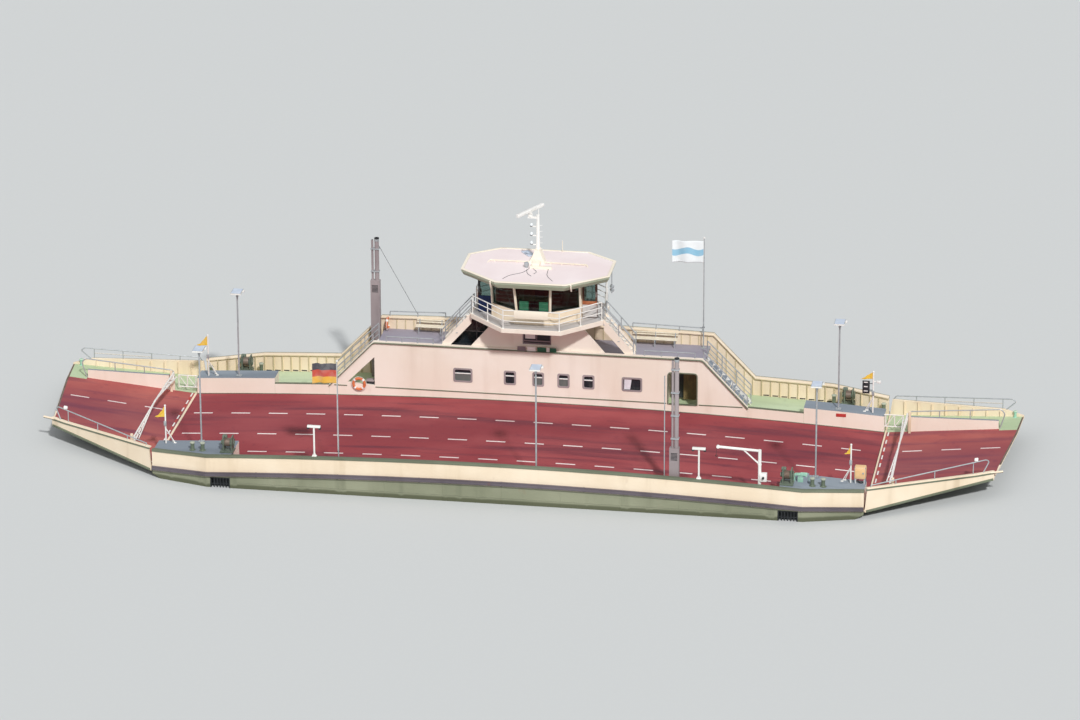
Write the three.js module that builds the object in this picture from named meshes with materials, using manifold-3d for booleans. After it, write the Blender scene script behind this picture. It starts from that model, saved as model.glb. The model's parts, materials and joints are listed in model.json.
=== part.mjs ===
// Double-ended river car ferry, as a 1:2 scale model. Millimetres, +Z up, +X to the right-hand end,
// -Y to the side with the low bulwark. The origin is on the centreline, amidships, at the waterline.
import * as THREE from "three";
import { mergeVertices } from "three/addons/utils/BufferGeometryUtils.js";
import Module from "manifold-3d";

const wasm = await Module();
wasm.setup();
const { Manifold } = wasm;

// Driving dimensions
const HINGE_X = 9100; // amidships to the hull's end, where the ramp hinges
const KNUCKLE_X = 7600; // amidships to where the sides start to run in
const HALF_BEAM = 3675;
const END_HALF_BEAM = 3255; // half the width of the hull's end
const DRAFT = 650;
const HOG = 290; // how much lower the deck's ends lie than its middle
const DECK_Z = 540; // top of the car deck amidships
const CAP_Z = 1050; // top of the bulwark amidships
const PLATE = 60; // bulwark and wall thickness
const SLAB = 60; // deck thickness
const GAP = 0.3; // between pieces that rest on each other
const WALL_Y = 1975; // near face of the deckhouse and of the coaming beyond its ends
const COAMING_Z = 725; // top of the coaming where it leaves the deckhouse
const PLATFORM_RISE = 450; // mooring platform above the car deck
const PLATFORM_INNER_X = 7000;
const HOUSE_TOP_Z = 2010; // top of the parapet over the near wall
const HOUSE_HALF = 4340; // half the length of the upper deck
const STAIR_TOP_X = HOUSE_HALF + 85; // where the far bulwark starts to slope down with the stairs
const STAIR_FOOT_X = 5540;
const STAIR_WIDTH = 850;
const FAR_TOP_Z = 2165; // far bulwark beside the upper deck, amidships
const UPPER_DECK_Z = 1750;
const RAIL_RADIUS = 13;
const POST_RADIUS = 11;

// Wheelhouse outlines, half of each, as [x, y] from the front middle to the rear middle
const ROOF_HALF = [[925, 870], [1935, 1700], [1935, 2870], [1175, 3430]];
const SILL_HALF = [[450, 1370], [1175, 1850], [1175, 2775], [700, 3250]];
const HEAD_HALF = [[490, 1190], [1175, 1660], [1175, 2900], [725, 3390]];
const BALCONY_HALF = [[760, 1000], [1725, 1950], [1725, 3050], [1250, 3500]];
const BALCONY_Z = 2930; // top of the gallery floor round the wheelhouse
const SILL_Z = 3300;
const HEAD_Z = 4080;
const ROOF_Z = 4250;

// Ramps, in the right-hand one's place
const AXIS = { x: 9130, z: 228, radius: 22 };
const RAMP_RISE = 0.0926; // slope of the ramp's plate at rest
const BARRIER_X = 9700;

const hog = (x) => HOG * (x / HINGE_X) ** 2;
const deckZ = (x) => DECK_Z - hog(x);
const capZ = (x) => CAP_Z - hog(x);
const coamingZ = (x) => COAMING_Z - Math.max(0, hog(x) - hog(STAIR_FOOT_X));
const sideY = (x) => HALF_BEAM
  - (Math.max(0, Math.abs(x) - KNUCKLE_X) * (HALF_BEAM - END_HALF_BEAM)) / (HINGE_X - KNUCKLE_X);
const rampZ = (x) => AXIS.z + AXIS.radius + (Math.abs(x) - AXIS.x) * RAMP_RISE;

const COLOURS = {
  // name: colour, roughness, metalness
  hullGreen: [0x6d7560, 0.6, 0.1],
  deckRed: [0x7c3634, 0.8, 0.0],
  railMauve: [0x9a8f8b, 0.7, 0.1],
  cream: [0xe8dcc4, 0.55, 0.0],
  walkGreen: [0x9fb48e, 0.75, 0.0],
  platformGrey: [0x7f868c, 0.7, 0.0],
  white: [0xe6e6e2, 0.45, 0.0],
  galvanised: [0xb4b8ba, 0.45, 0.6],
  glass: [0x1d2a2c, 0.1, 0.0],
  roofPink: [0xd9cdc9, 0.6, 0.0],
  winchGreen: [0x66766a, 0.6, 0.2],
  bronze: [0xa07c46, 0.35, 0.8],
  flagCloth: [0xd8d8d8, 0.9, 0.0],
};
const materials = Object.fromEntries(Object.entries(COLOURS).map(([name, [color, roughness, metalness]]) => [
  name, new THREE.MeshStandardMaterial({ name, color, roughness, metalness }),
]));

// Solids
function solidOf(geometry) {
  const bare = geometry.clone();
  bare.deleteAttribute("normal");
  bare.deleteAttribute("uv");
  const merged = mergeVertices(bare, 1e-4);
  return new Manifold(new wasm.Mesh({
    numProp: 3,
    vertProperties: new Float32Array(merged.attributes.position.array),
    triVerts: new Uint32Array(merged.index.array),
  }));
}

function geometryOf(manifold) {
  const mesh = manifold.getMesh();
  const geometry = new THREE.BufferGeometry();
  geometry.setAttribute("position", new THREE.BufferAttribute(new Float32Array(mesh.vertProperties), 3));
  geometry.setIndex(new THREE.BufferAttribute(new Uint32Array(mesh.triVerts), 1));
  geometry.computeVertexNormals();
  return geometry;
}

const union = (solids) => Manifold.union(solids);

function block([x0, x1], [y0, y1], [z0, z1]) {
  const box = new THREE.BoxGeometry(x1 - x0, y1 - y0, z1 - z0);
  return solidOf(box).translate([(x0 + x1) / 2, (y0 + y1) / 2, (z0 + z1) / 2]);
}

// Shape drawn on an outline of pairs and given a depth
function extrude(outline, depth) {
  const shape = new THREE.Shape(outline.map(([u, v]) => new THREE.Vector2(u, v)));
  return solidOf(new THREE.ExtrudeGeometry(shape, { depth, bevelEnabled: false }));
}

// Upright prism on an [x, y] outline
function prismZ(outline, z0, z1) {
  return extrude(outline, z1 - z0).translate([0, 0, z0]);
}

// Prism across the boat on an [x, z] outline
function prismY(outline, y0, y1) {
  return extrude(outline, y1 - y0).transform([1, 0, 0, 0, 0, 0, 1, 0, 0, -1, 0, 0, 0, y1, 0, 1]);
}

// Prism along the boat on a [y, z] outline
function prismX(outline, x0, x1) {
  return extrude(outline, x1 - x0).transform([0, 1, 0, 0, 0, 0, 1, 0, 1, 0, 0, 0, x0, 0, 0, 1]);
}

// Round bar between two points
function rod(from, to, radius, sides = 6, topRadius = radius) {
  const a = new THREE.Vector3(...from);
  const b = new THREE.Vector3(...to);
  const along = b.clone().sub(a);
  const geometry = new THREE.CylinderGeometry(topRadius, radius, along.length(), sides);
  const turn = new THREE.Quaternion().setFromUnitVectors(new THREE.Vector3(0, 1, 0), along.normalize());
  const place = new THREE.Matrix4().compose(a.add(b).multiplyScalar(0.5), turn, new THREE.Vector3(1, 1, 1));
  return solidOf(geometry).transform(place.elements);
}

// Closed solid between two outlines with as many points, one above the other
function loft(low, high) {
  const count = low.length;
  const positions = [...low, ...high].flat();
  const faces = THREE.ShapeUtils.triangulateShape(low.map(([x, y]) => new THREE.Vector2(x, y)), []);
  const index = faces.flatMap(([a, b, c]) => [a, c, b, a + count, b + count, c + count]);
  for (let i = 0; i < count; i += 1) {
    const j = (i + 1) % count;
    index.push(i, j, j + count, i, j + count, i + count);
  }
  const geometry = new THREE.BufferGeometry();
  geometry.setAttribute("position", new THREE.Float32BufferAttribute(positions, 3));
  geometry.setIndex(index);
  return solidOf(geometry);
}

// Stations along the boat where a hogged edge has a corner
const HALF_STATIONS = [0, 1500, 3000, STAIR_TOP_X, STAIR_FOOT_X, 6700, 7900, HINGE_X];
const STATIONS = [...HALF_STATIONS.slice(1).map((x) => -x).reverse(), ...HALF_STATIONS];

// Side profile between two curves z(x), as an [x, z] outline
function band(low, high, stations = STATIONS) {
  return [...stations.map((x) => [x, low(x)]), ...[...stations].reverse().map((x) => [x, high(x)])];
}

const mirrorX = (outline) => outline.map(([x, y]) => [-x, y]).reverse();
const HULL_PLAN = [
  [-HINGE_X, -END_HALF_BEAM], [-KNUCKLE_X, -HALF_BEAM], [KNUCKLE_X, -HALF_BEAM], [HINGE_X, -END_HALF_BEAM],
  [HINGE_X, END_HALF_BEAM], [KNUCKLE_X, HALF_BEAM], [-KNUCKLE_X, HALF_BEAM], [-HINGE_X, END_HALF_BEAM],
];

// Strip of the hull's plan along one side: `out` and `inn` are distances inside the hull's edge
function sideStrip(side, out, inn) {
  const line = (inset) => [[-HINGE_X, END_HALF_BEAM - inset], [-KNUCKLE_X, HALF_BEAM - inset],
    [KNUCKLE_X, HALF_BEAM - inset], [HINGE_X, END_HALF_BEAM - inset]].map(([x, y]) => [x, side * y]);
  const outline = [...line(out), ...line(inn).reverse()];
  return side < 0 ? outline : outline.reverse();
}

// Full outline of a shape given by its right half, from the front middle to the rear middle
const octagon = (half) => [...half, ...mirrorX(half)];

// Handrail on posts: `path` is the foot line as [x, y, z] points
function railing(path, { height, bars, spacing, sunk = 4, postRadius = POST_RADIUS, radius = RAIL_RADIUS }) {
  const pieces = [];
  for (let i = 0; i + 1 < path.length; i += 1) {
    const a = new THREE.Vector3(...path[i]);
    const b = new THREE.Vector3(...path[i + 1]);
    for (let k = 0; k < bars; k += 1) {
      const z = height * (1 - k / (bars + 0.4));
      const size = k === 0 ? radius : radius * 0.7;
      pieces.push(rod([a.x, a.y, a.z + z], [b.x, b.y, b.z + z], size, 4));
    }
    const posts = Math.max(1, Math.round(a.distanceTo(b) / spacing));
    for (let k = i === 0 ? 0 : 1; k <= posts; k += 1) {
      const p = a.clone().lerp(b, k / posts);
      pieces.push(rod([p.x, p.y, p.z - sunk], [p.x, p.y, p.z + height], postRadius, 4));
    }
  }
  return pieces;
}

const group = new THREE.Group();
function add(name, solid, material) {
  const mesh = new THREE.Mesh(geometryOf(solid), materials[material].clone());
  mesh.name = name;
  group.add(mesh);
}

// Hull: pontoon with raked ends, chines and a barred well in each side near its ends
const WELL = { inner: 7010, outer: 7480, top: 262, bottom: -120, depth: 160, bars: 5 };
const RAKE = [[HINGE_X, 110], [8450, -230], [6900, -DRAFT]];
const CHINE = { y: 3250, z: -330 };
const BOSS = { x: 7800, y: 1700, radius: 170, bottom: -552 }; // carries a steering thruster
const hullTop = (x) => deckZ(x) - SLAB;

function buildHull() {
  const keel = [...mirrorX(RAKE).reverse(), ...[...RAKE].reverse()];
  const profile = [...keel, ...[...STATIONS].reverse().map((x) => [x, hullTop(x)])];
  const section = [[-CHINE.y, -DRAFT], [CHINE.y, -DRAFT], [HALF_BEAM, CHINE.z], [HALF_BEAM, DECK_Z],
    [-HALF_BEAM, DECK_Z], [-HALF_BEAM, CHINE.z]];
  let hull = prismY(profile, -HALF_BEAM, HALF_BEAM)
    .intersect(prismZ(HULL_PLAN, -DRAFT, DECK_Z))
    .intersect(prismX(section, -HINGE_X, HINGE_X));
  for (const side of [-1, 1]) {
    for (const end of [-1, 1]) {
      const xs = [end * WELL.inner, end * WELL.outer].sort((a, b) => a - b);
      const ys = [side * (HALF_BEAM - WELL.depth), side * (HALF_BEAM + 5)].sort((a, b) => a - b);
      hull = hull.subtract(block(xs, ys, [WELL.bottom, WELL.top]));
      const pitch = (WELL.outer - WELL.inner) / (WELL.bars + 1);
      for (let k = 1; k <= WELL.bars; k += 1) {
        const x = end * (WELL.inner + k * pitch);
        const y = side * (HALF_BEAM - 30);
        hull = hull.add(rod([x, y, WELL.bottom - 10], [x, y, WELL.top + 10], 14));
      }
    }
  }
  const bosses = [[-1, 1], [1, -1]].map(([end, side]) => rod([end * BOSS.x, side * BOSS.y, BOSS.bottom],
    [end * BOSS.x, side * BOSS.y, -200], BOSS.radius, 16));
  return union([hull, ...bosses]);
}
add("hull", buildHull(), "hullGreen");

// Car deck plating between the near bulwark and the side deck
const carDeckPlan = [
  ...sideStrip(-1, PLATE + GAP, 0).slice(0, 4),
  [HINGE_X, WALL_Y - GAP], [-HINGE_X, WALL_Y - GAP],
];
add("car_deck", prismY(band((x) => hullTop(x) + GAP, deckZ), -HALF_BEAM, HALF_BEAM)
  .intersect(prismZ(carDeckPlan, 0, DECK_Z + 1)), "deckRed");

// Rub rails at deck level, a flat bar with a narrower one on it
const RUB_BARS = [{ half: 50, depth: 60 }, { half: 28, depth: 92 }];
const RUB_Z = 560;
const rubRail = (side) => union(RUB_BARS.map(({ half, depth }) =>
  prismY(band((x) => RUB_Z - half - hog(x), (x) => RUB_Z + half - hog(x)), -2 * HALF_BEAM, 2 * HALF_BEAM)
    .intersect(prismZ(sideStrip(side, -depth, -GAP), 0, CAP_Z))));
add("rub_rail_near", rubRail(-1), "railMauve");
add("rub_rail_far", rubRail(1), "railMauve");

// Bulwarks with a cap and ribs inside
const CAP = { height: 40, out: -20, inn: 120 };
const RIB = { thickness: 14, depth: 50, pitch: 360 };
const FAR_RIB_PITCH = 480;

function wallStrip(side, profile, out, inn) {
  return prismY(profile, -2 * HALF_BEAM, 2 * HALF_BEAM)
    .intersect(prismZ(sideStrip(side, out, inn), -100, 3000));
}

// Posts with a crossbar, welded to the near bulwark
const TEES = [-4810, 4985];
const TEE = { y: -3560, height: 1780, arm: 330, radius: 22 };
function teePost(x) {
  const top = TEE.height;
  return union([
    rod([x, TEE.y, capZ(x) - 20], [x, TEE.y, top], TEE.radius, 8),
    block([x - TEE.arm / 2, x + TEE.arm / 2], [TEE.y - 35, TEE.y + 35], [top - 30, top + 20]),
  ]);
}

function buildNearBulwark() {
  const plating = wallStrip(-1, band((x) => hullTop(x) + GAP, capZ), 0, PLATE);
  const cap = wallStrip(-1, band((x) => capZ(x) - CAP.height, capZ), CAP.out, CAP.inn);
  const ribs = [];
  for (let x = -18 * RIB.pitch; x <= 18 * RIB.pitch; x += 2 * RIB.pitch) {
    ribs.push(block([x, x + RIB.thickness], [-HALF_BEAM + PLATE - 5, -HALF_BEAM + PLATE + RIB.depth],
      [deckZ(x) + 5, capZ(x) - 10]));
  }
  return union([plating, cap, ...ribs, ...TEES.map(teePost)]);
}
add("bulwark_near", buildNearBulwark(), "cream");

// Top of the far bulwark: raised beside the upper deck, then sloping down along the stairs
const farTop = (x) => {
  const along = Math.min(1, Math.max(0, (Math.abs(x) - STAIR_TOP_X) / (STAIR_FOOT_X - STAIR_TOP_X)));
  const raised = FAR_TOP_Z - hog(Math.min(Math.abs(x), STAIR_TOP_X));
  return Math.abs(x) < STAIR_FOOT_X ? raised + (capZ(STAIR_FOOT_X) - raised) * along : capZ(x);
};

// Windows in the deckhouse's near wall, x from and to; its far wall has the plain ones
const WINDOWS = [[-2205, -1730], [-865, -575], [-110, 165], [550, 840], [1210, 1495], [2245, 2750]];
const FAR_WINDOWS = [[-3600, -3100], [-2400, -1900], [-1000, -500], [500, 1000], [1900, 2400]];
const WINDOW_Z = [1010, 1370];
const RAILING = { height: 500, bars: 3, spacing: 1000 };
const LOW_RAIL = { height: 130, bars: 1, spacing: 720, sunk: 8 }; // on the parapets of the upper deck
const FAR_RAILS = [[-4200, -2710], [2280, 4130]];

function buildFarBulwark() {
  let wall = wallStrip(1, band((x) => hullTop(x) + GAP, farTop), 0, PLATE);
  for (const [x0, x1] of FAR_WINDOWS) {
    wall = wall.subtract(block([x0, x1], [HALF_BEAM - 2 * PLATE, HALF_BEAM + 10], WINDOW_Z));
  }
  const cap = wallStrip(1, band((x) => farTop(x) - CAP.height, farTop), CAP.out, CAP.inn);
  const ribs = [];
  for (const end of [-1, 1]) {
    for (let k = 0; k < 7; k += 1) {
      const x = end * (STAIR_FOOT_X + 160 + k * FAR_RIB_PITCH);
      const y = sideY(x) - PLATE;
      ribs.push(block([x, x + RIB.thickness], [y - RIB.depth, y + 8], [deckZ(x) + 5, farTop(x) - 10]));
    }
  }
  const rails = FAR_RAILS.flatMap((xs) => railing(xs.map((x) => [x, HALF_BEAM - 50, farTop(x)]), LOW_RAIL));
  return union([wall, cap, ...ribs, ...rails]);
}
add("bulwark_far", buildFarBulwark(), "cream");

// Bollards, as [distance from amidships, y]
const NEAR_BOLLARDS = [[7795, -3150], [8065, -3120]];
const FAR_BOLLARDS = [[7645, 3300], [8970, 3100]];
const NEAR_BOLLARD = { radius: 48, height: 210, cap: 62 };
const FAR_BOLLARD = { radius: 48, height: 350, cap: 62 };

function bollard(x, y, z, { radius, height, cap }) {
  return union([
    rod([x, y, z - 10], [x, y, z + height], radius, 10),
    rod([x, y, z + height - 25], [x, y, z + height + 5], cap, 10),
  ]);
}

// Side deck level with the car deck, with the coaming between them beyond the deckhouse
const sideDeckPlan = [...sideStrip(1, 0, PLATE + GAP).slice(0, 4), [HINGE_X, WALL_Y], [-HINGE_X, WALL_Y]];
function buildSideDeck() {
  const floor = prismY(band((x) => hullTop(x) + GAP, deckZ), WALL_Y, HALF_BEAM)
    .intersect(prismZ(sideDeckPlan, 0, 3000));
  const stations = [STAIR_FOOT_X + GAP, 6700, PLATFORM_INNER_X - GAP];
  const coaming = prismY(band((x) => deckZ(x) - 10, coamingZ, stations), WALL_Y, WALL_Y + PLATE);
  const bollards = [-1, 1].flatMap((end) => FAR_BOLLARDS.map(([x, y]) =>
    bollard(end * x, y, deckZ(x), FAR_BOLLARD)));
  return union([floor, coaming, coaming.mirror([1, 0, 0]), ...bollards]);
}
add("side_deck", buildSideDeck(), "walkGreen");

// Mooring platforms: two broad ones at the near corners, and a narrow box at each far corner
const PLATFORMS = [
  // name, end, side
  { name: "platform_near_left", end: -1, side: -1 },
  { name: "platform_near_right", end: 1, side: -1 },
  { name: "platform_far_left", end: -1, side: 1 },
  { name: "platform_far_right", end: 1, side: 1 },
];
const NEAR_PLATFORM_Y = -2475; // inner edge of the near platforms
const FAR_BOX_Y = 2500; // outer edge of the far boxes
const CABINET = { x: [8800, 9080], y: [-2690, -2490], z: [135, 440], leg: 24 }; // z above the platform
const LOCKER = { x: [7400, 7670], y: [-3000, -2720], height: 150 };
const platformZ = (x) => deckZ(x) + PLATFORM_RISE;

// Low locker, and a cabinet on legs, on the right-hand near platform
function platformFittings() {
  const z = platformZ(CABINET.x[1]);
  const edge = (value, first) => (first ? [value, value + CABINET.leg] : [value - CABINET.leg, value]);
  const legs = CABINET.x.flatMap((x, i) => CABINET.y.map((y, j) =>
    block(edge(x, i === 0), edge(y, j === 0), [z - 20, z + CABINET.z[0] + 10])));
  const lockerZ = platformZ(LOCKER.x[1]);
  return [
    block(LOCKER.x, LOCKER.y, [lockerZ - 20, lockerZ + LOCKER.height]),
    block(CABINET.x, CABINET.y, CABINET.z.map((h) => z + h)), ...legs,
  ];
}

function buildPlatform({ name, end, side }) {
  const far = side > 0;
  const clear = CAP.inn + 10;
  const [x0, x1] = [PLATFORM_INNER_X, HINGE_X - 10];
  const outer = far ? [[x1, FAR_BOX_Y], [x0, FAR_BOX_Y]]
    : [[x1, END_HALF_BEAM - clear], [KNUCKLE_X, HALF_BEAM - clear], [x0, HALF_BEAM - clear]];
  const innerY = far ? WALL_Y : -NEAR_PLATFORM_Y;
  const plan = [[x0, innerY], [x1, innerY], ...outer].map(([x, y]) => [end * x, side * y]);
  const stations = STATIONS.filter((x) => end * x > PLATFORM_INNER_X - 400);
  const body = prismY(band((x) => deckZ(x) + GAP, platformZ, stations), -HALF_BEAM, HALF_BEAM)
    .intersect(prismZ(end * side > 0 ? plan : [...plan].reverse(), 0, 3000));
  const fittings = name === "platform_near_right" ? platformFittings() : [];
  const bollards = far ? [] : NEAR_BOLLARDS.map(([x, y]) => bollard(end * x, y, platformZ(x), NEAR_BOLLARD));
  return union([body, ...bollards, ...fittings]);
}
for (const platform of PLATFORMS) {
  add(platform.name, buildPlatform(platform), "platformGrey");
}

// Deckhouse: near wall that slopes down with the stairs, and three cross walls
const CROSS_WALLS = [-4260, -900, 3300];
const DOORWAY = { x: [3440, 4205], z: [695, 1580], corner: 90 };
const HOUSE_RAILS = [[-4000, -2750], [2820, 4140]];

function buildDeckhouse() {
  const foot = STATIONS.filter((x) => Math.abs(x) <= STAIR_FOOT_X).map((x) => [x, deckZ(x) + GAP]);
  const slope = [[STAIR_FOOT_X, COAMING_Z], [HOUSE_HALF, HOUSE_TOP_Z]];
  let wall = prismY([...foot, ...slope, ...mirrorX(slope)], WALL_Y, WALL_Y + PLATE);
  for (const [x0, x1] of WINDOWS) {
    wall = wall.subtract(block([x0, x1], [WALL_Y - 10, WALL_Y + PLATE + 10], WINDOW_Z));
  }
  const doorway = new THREE.Shape();
  const [dx0, dx1] = DOORWAY.x;
  const [dz0, dz1] = DOORWAY.z;
  const { corner } = DOORWAY;
  doorway.moveTo(dx0, dz0).lineTo(dx1, dz0).lineTo(dx1, dz1 - corner)
    .absarc(dx1 - corner, dz1 - corner, corner, 0, Math.PI / 2).lineTo(dx0 + corner, dz1)
    .absarc(dx0 + corner, dz1 - corner, corner, Math.PI / 2, Math.PI);
  const opening = doorway.getPoints(4).slice(0, -1).map((p) => [p.x, p.y]);
  const triangle = [[-5050, 820], [-4320, 760], [-4320, 1560]];
  for (const outline of [opening, triangle]) {
    wall = wall.subtract(prismY(outline, WALL_Y - 10, WALL_Y + PLATE + 10));
  }
  const cross = CROSS_WALLS.map((x) => block([x, x + PLATE], [WALL_Y + PLATE - 5, HALF_BEAM - PLATE - GAP],
    [deckZ(Math.min(Math.abs(x), Math.abs(x + PLATE))) + GAP, UPPER_DECK_Z - SLAB - GAP]));
  const rails = HOUSE_RAILS.flatMap((xs) => railing(xs.map((x) => [x, WALL_Y + PLATE / 2, HOUSE_TOP_Z]),
    { ...LOW_RAIL, spacing: 490 }));
  return union([wall, ...cross, ...rails]);
}
add("deckhouse", buildDeckhouse(), "cream");

// Upper deck, laid between the near wall and the far bulwark
add("upper_deck", block([-HOUSE_HALF, HOUSE_HALF], [WALL_Y + PLATE + GAP, HALF_BEAM - PLATE - GAP],
  [UPPER_DECK_Z - SLAB, UPPER_DECK_Z]), "platformGrey");

// Stairs: treads between two stringers, with a handrail on each
function stair({ from, to, y0, y1, steps, end, stringer = 150, bars = RAILING.bars }) {
  // `from` is the foot and `to` the head, as [distance from amidships, z]
  const [fx, fz] = from;
  const [tx, tz] = to;
  const along = (t) => [end * (fx + (tx - fx) * t), fz + (tz - fz) * t];
  const [[x0, z0], [x1, z1]] = [along(0), along(1)];
  const side = (y) => prismY([[x0, z0 - 1], [x1, z1 - stringer], [x1, z1], [x0, z0 + stringer]], y, y + 30);
  const pieces = [side(y0), side(y1 - 30)];
  for (let k = 1; k < steps; k += 1) {
    const [x, z] = along(k / steps);
    pieces.push(block([x - 65, x + 65], [y0 + 10, y1 - 10], [z, z + 20]));
  }
  for (const y of [y0 + 15, y1 - 15]) {
    pieces.push(...railing([[x0, y, z0 + stringer / 2], [x1, y, z1 - stringer / 2]],
      { ...RAILING, bars, sunk: 20, spacing: 600 }));
  }
  return union(pieces);
}
for (const [name, end] of [["deck_stair_left", -1], ["deck_stair_right", 1]]) {
  add(name, stair({
    from: [STAIR_FOOT_X - 30, deckZ(STAIR_FOOT_X - 30) + 3], to: [HOUSE_HALF + 20, UPPER_DECK_Z - 5],
    y0: WALL_Y + PLATE + 5, y1: WALL_Y + PLATE + STAIR_WIDTH, steps: 10, end,
  }), "white");
}

// Tower under the wheelhouse, with a window and sloping gables at both sides
const TOWER = {
  half: 1060, y: [WALL_Y + PLATE + 10, 3300], window: [[-370, 340], [2170, 2460]], gable: 915,
};
function buildTower() {
  const z0 = UPPER_DECK_Z + GAP;
  const z1 = BALCONY_Z - SLAB - GAP;
  const outer = block([-TOWER.half, TOWER.half], TOWER.y, [z0, z1]);
  const inner = block([-TOWER.half + PLATE, TOWER.half - PLATE], [TOWER.y[0] + PLATE, TOWER.y[1] - PLATE],
    [z0 - 1, z1 - PLATE]);
  const [wx, wz] = TOWER.window;
  const opening = block(wx, [TOWER.y[0] - 10, TOWER.y[0] + PLATE + 10], wz);
  const gables = [-1, 1].map((end) => prismY([[end * TOWER.half * 0.8, z0],
    [end * (TOWER.half + TOWER.gable), z0], [end * TOWER.half * 0.98, z1 - 40]],
  TOWER.y[0], TOWER.y[0] + PLATE));
  return union([outer.subtract(inner), ...gables]).subtract(opening);
}
add("bridge_tower", buildTower(), "cream");

// Gallery round the wheelhouse, with its railing and the blank board on its front
const atZ = (outline, z) => outline.map(([x, y]) => [x, y, z]);
const BOARD = { half: 440, height: [300, 510], thickness: 20 };
const FASCIA = { depth: 110, thickness: 30 };
function inset(outline, distance) {
  const centreY = 2250;
  return outline.map(([x, y]) =>
    [x - Math.sign(x) * distance, y + (y < centreY ? distance : -distance) * 0.9]);
}

function buildBalcony() {
  const outline = octagon(BALCONY_HALF);
  const floor = prismZ(outline, BALCONY_Z - SLAB, BALCONY_Z);
  const inner = octagon(inset(BALCONY_HALF, FASCIA.thickness));
  const fascia = prismZ(outline, BALCONY_Z - FASCIA.depth, BALCONY_Z - 5)
    .subtract(prismZ(inner, BALCONY_Z - FASCIA.depth - 1, BALCONY_Z));
  const edge = inset(BALCONY_HALF, 25);
  const [front0, front1] = edge;
  const middle = front0.map((value, i) => (value + front1[i]) / 2);
  const half = [front0, middle, front1];
  const front = [...mirrorX(half), ...half].map(([x, y]) => [x, y, BALCONY_Z]);
  const rear = [[edge[2][0], edge[1][1] + 640, BALCONY_Z], [edge[2][0], edge[2][1], BALCONY_Z],
    [edge[3][0], edge[3][1], BALCONY_Z], [-edge[3][0], edge[3][1], BALCONY_Z],
    [-edge[2][0], edge[2][1], BALCONY_Z], [-edge[2][0], edge[1][1] + 640, BALCONY_Z]];
  const board = block([-BOARD.half, BOARD.half], [edge[0][1] - BOARD.thickness, edge[0][1] + 5],
    BOARD.height.map((z) => BALCONY_Z + z));
  return union([floor, fascia, ...railing(front, { ...RAILING, spacing: 1500 }),
    ...railing(rear, RAILING), board]);
}
add("balcony", buildBalcony(), "white");

for (const [name, end] of [["bridge_stair_left", -1], ["bridge_stair_right", 1]]) {
  add(name, stair({
    from: [2520, UPPER_DECK_Z + 3], to: [BALCONY_HALF[1][0] + 20, BALCONY_Z - 5],
    y0: BALCONY_HALF[1][1] + 95, y1: BALCONY_HALF[1][1] + 595, steps: 10, end, stringer: 300, bars: 2,
  }), "cream");
}

// Dark glazed screen behind the left bridge stair, from the tower's side to the stair
const SCREEN = { y: [2575, 2600], foot: -2500, head: -1635 };
add("stair_screen", prismY([[SCREEN.foot, UPPER_DECK_Z + GAP], [-TOWER.half - 4, UPPER_DECK_Z + GAP],
  [-TOWER.half - 4, BALCONY_Z - SLAB - 1], [SCREEN.head, BALCONY_Z - SLAB - 1]], ...SCREEN.y), "glass");

// Wheelhouse: a parapet, leaning window posts and a head beam, with a door opening in each side
const WALL = 40;
const DOOR = { y: [2080, 2500], z: [BALCONY_Z + 25, HEAD_Z - 60], leaf: 24, clearance: 8 };
function shell(lowHalf, highHalf, z0, z1, outer, inner) {
  const skin = (distance, extra) => loft(atZ(octagon(inset(lowHalf, distance)), z0 - extra),
    atZ(octagon(inset(highHalf, distance)), z1 + extra));
  return skin(outer, 0).subtract(skin(inner, 0.01));
}

function buildWheelhouse() {
  const parapet = shell(SILL_HALF, SILL_HALF, BALCONY_Z + GAP, SILL_Z, 0, WALL);
  const head = shell(HEAD_HALF, HEAD_HALF, HEAD_Z - 50, HEAD_Z, 0, WALL);
  const sill = octagon(inset(SILL_HALF, WALL / 2));
  const top = octagon(inset(HEAD_HALF, WALL / 2));
  const posts = sill.map(([x, y], i) => rod([x, y, SILL_Z - 15], [...top[i], HEAD_Z - 20], 27, 6));
  const frames = [-1, 1].flatMap((end) => DOOR.y.map((y, i) => block(
    [end * (SILL_HALF[1][0] - WALL), end * SILL_HALF[1][0]].sort((a, b) => a - b),
    i === 0 ? [y - 50, y] : [y, y + 50], [BALCONY_Z + GAP, HEAD_Z])));
  const openings = [-1, 1].map((end) => block(
    [end * (SILL_HALF[1][0] - 2 * WALL), end * (SILL_HALF[1][0] + 10)].sort((a, b) => a - b),
    DOOR.y, [BALCONY_Z - 5, HEAD_Z - 50]));
  return union([parapet, head, ...posts, ...frames]).subtract(union(openings));
}
add("wheelhouse", buildWheelhouse(), "cream");

// Window glass behind the posts, one band before the doors and one behind them
function buildGlass(front) {
  const band3d = shell(SILL_HALF, HEAD_HALF, SILL_Z + 2, HEAD_Z - 52, 52, 62);
  const [y0, y1] = front ? [0, DOOR.y[0] - 60] : [DOOR.y[1] + 60, 4000];
  return band3d.intersect(block([-2000, 2000], [y0, y1], [SILL_Z, HEAD_Z]));
}
add("glass_front", buildGlass(true), "glass");
add("glass_rear", buildGlass(false), "glass");

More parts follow.
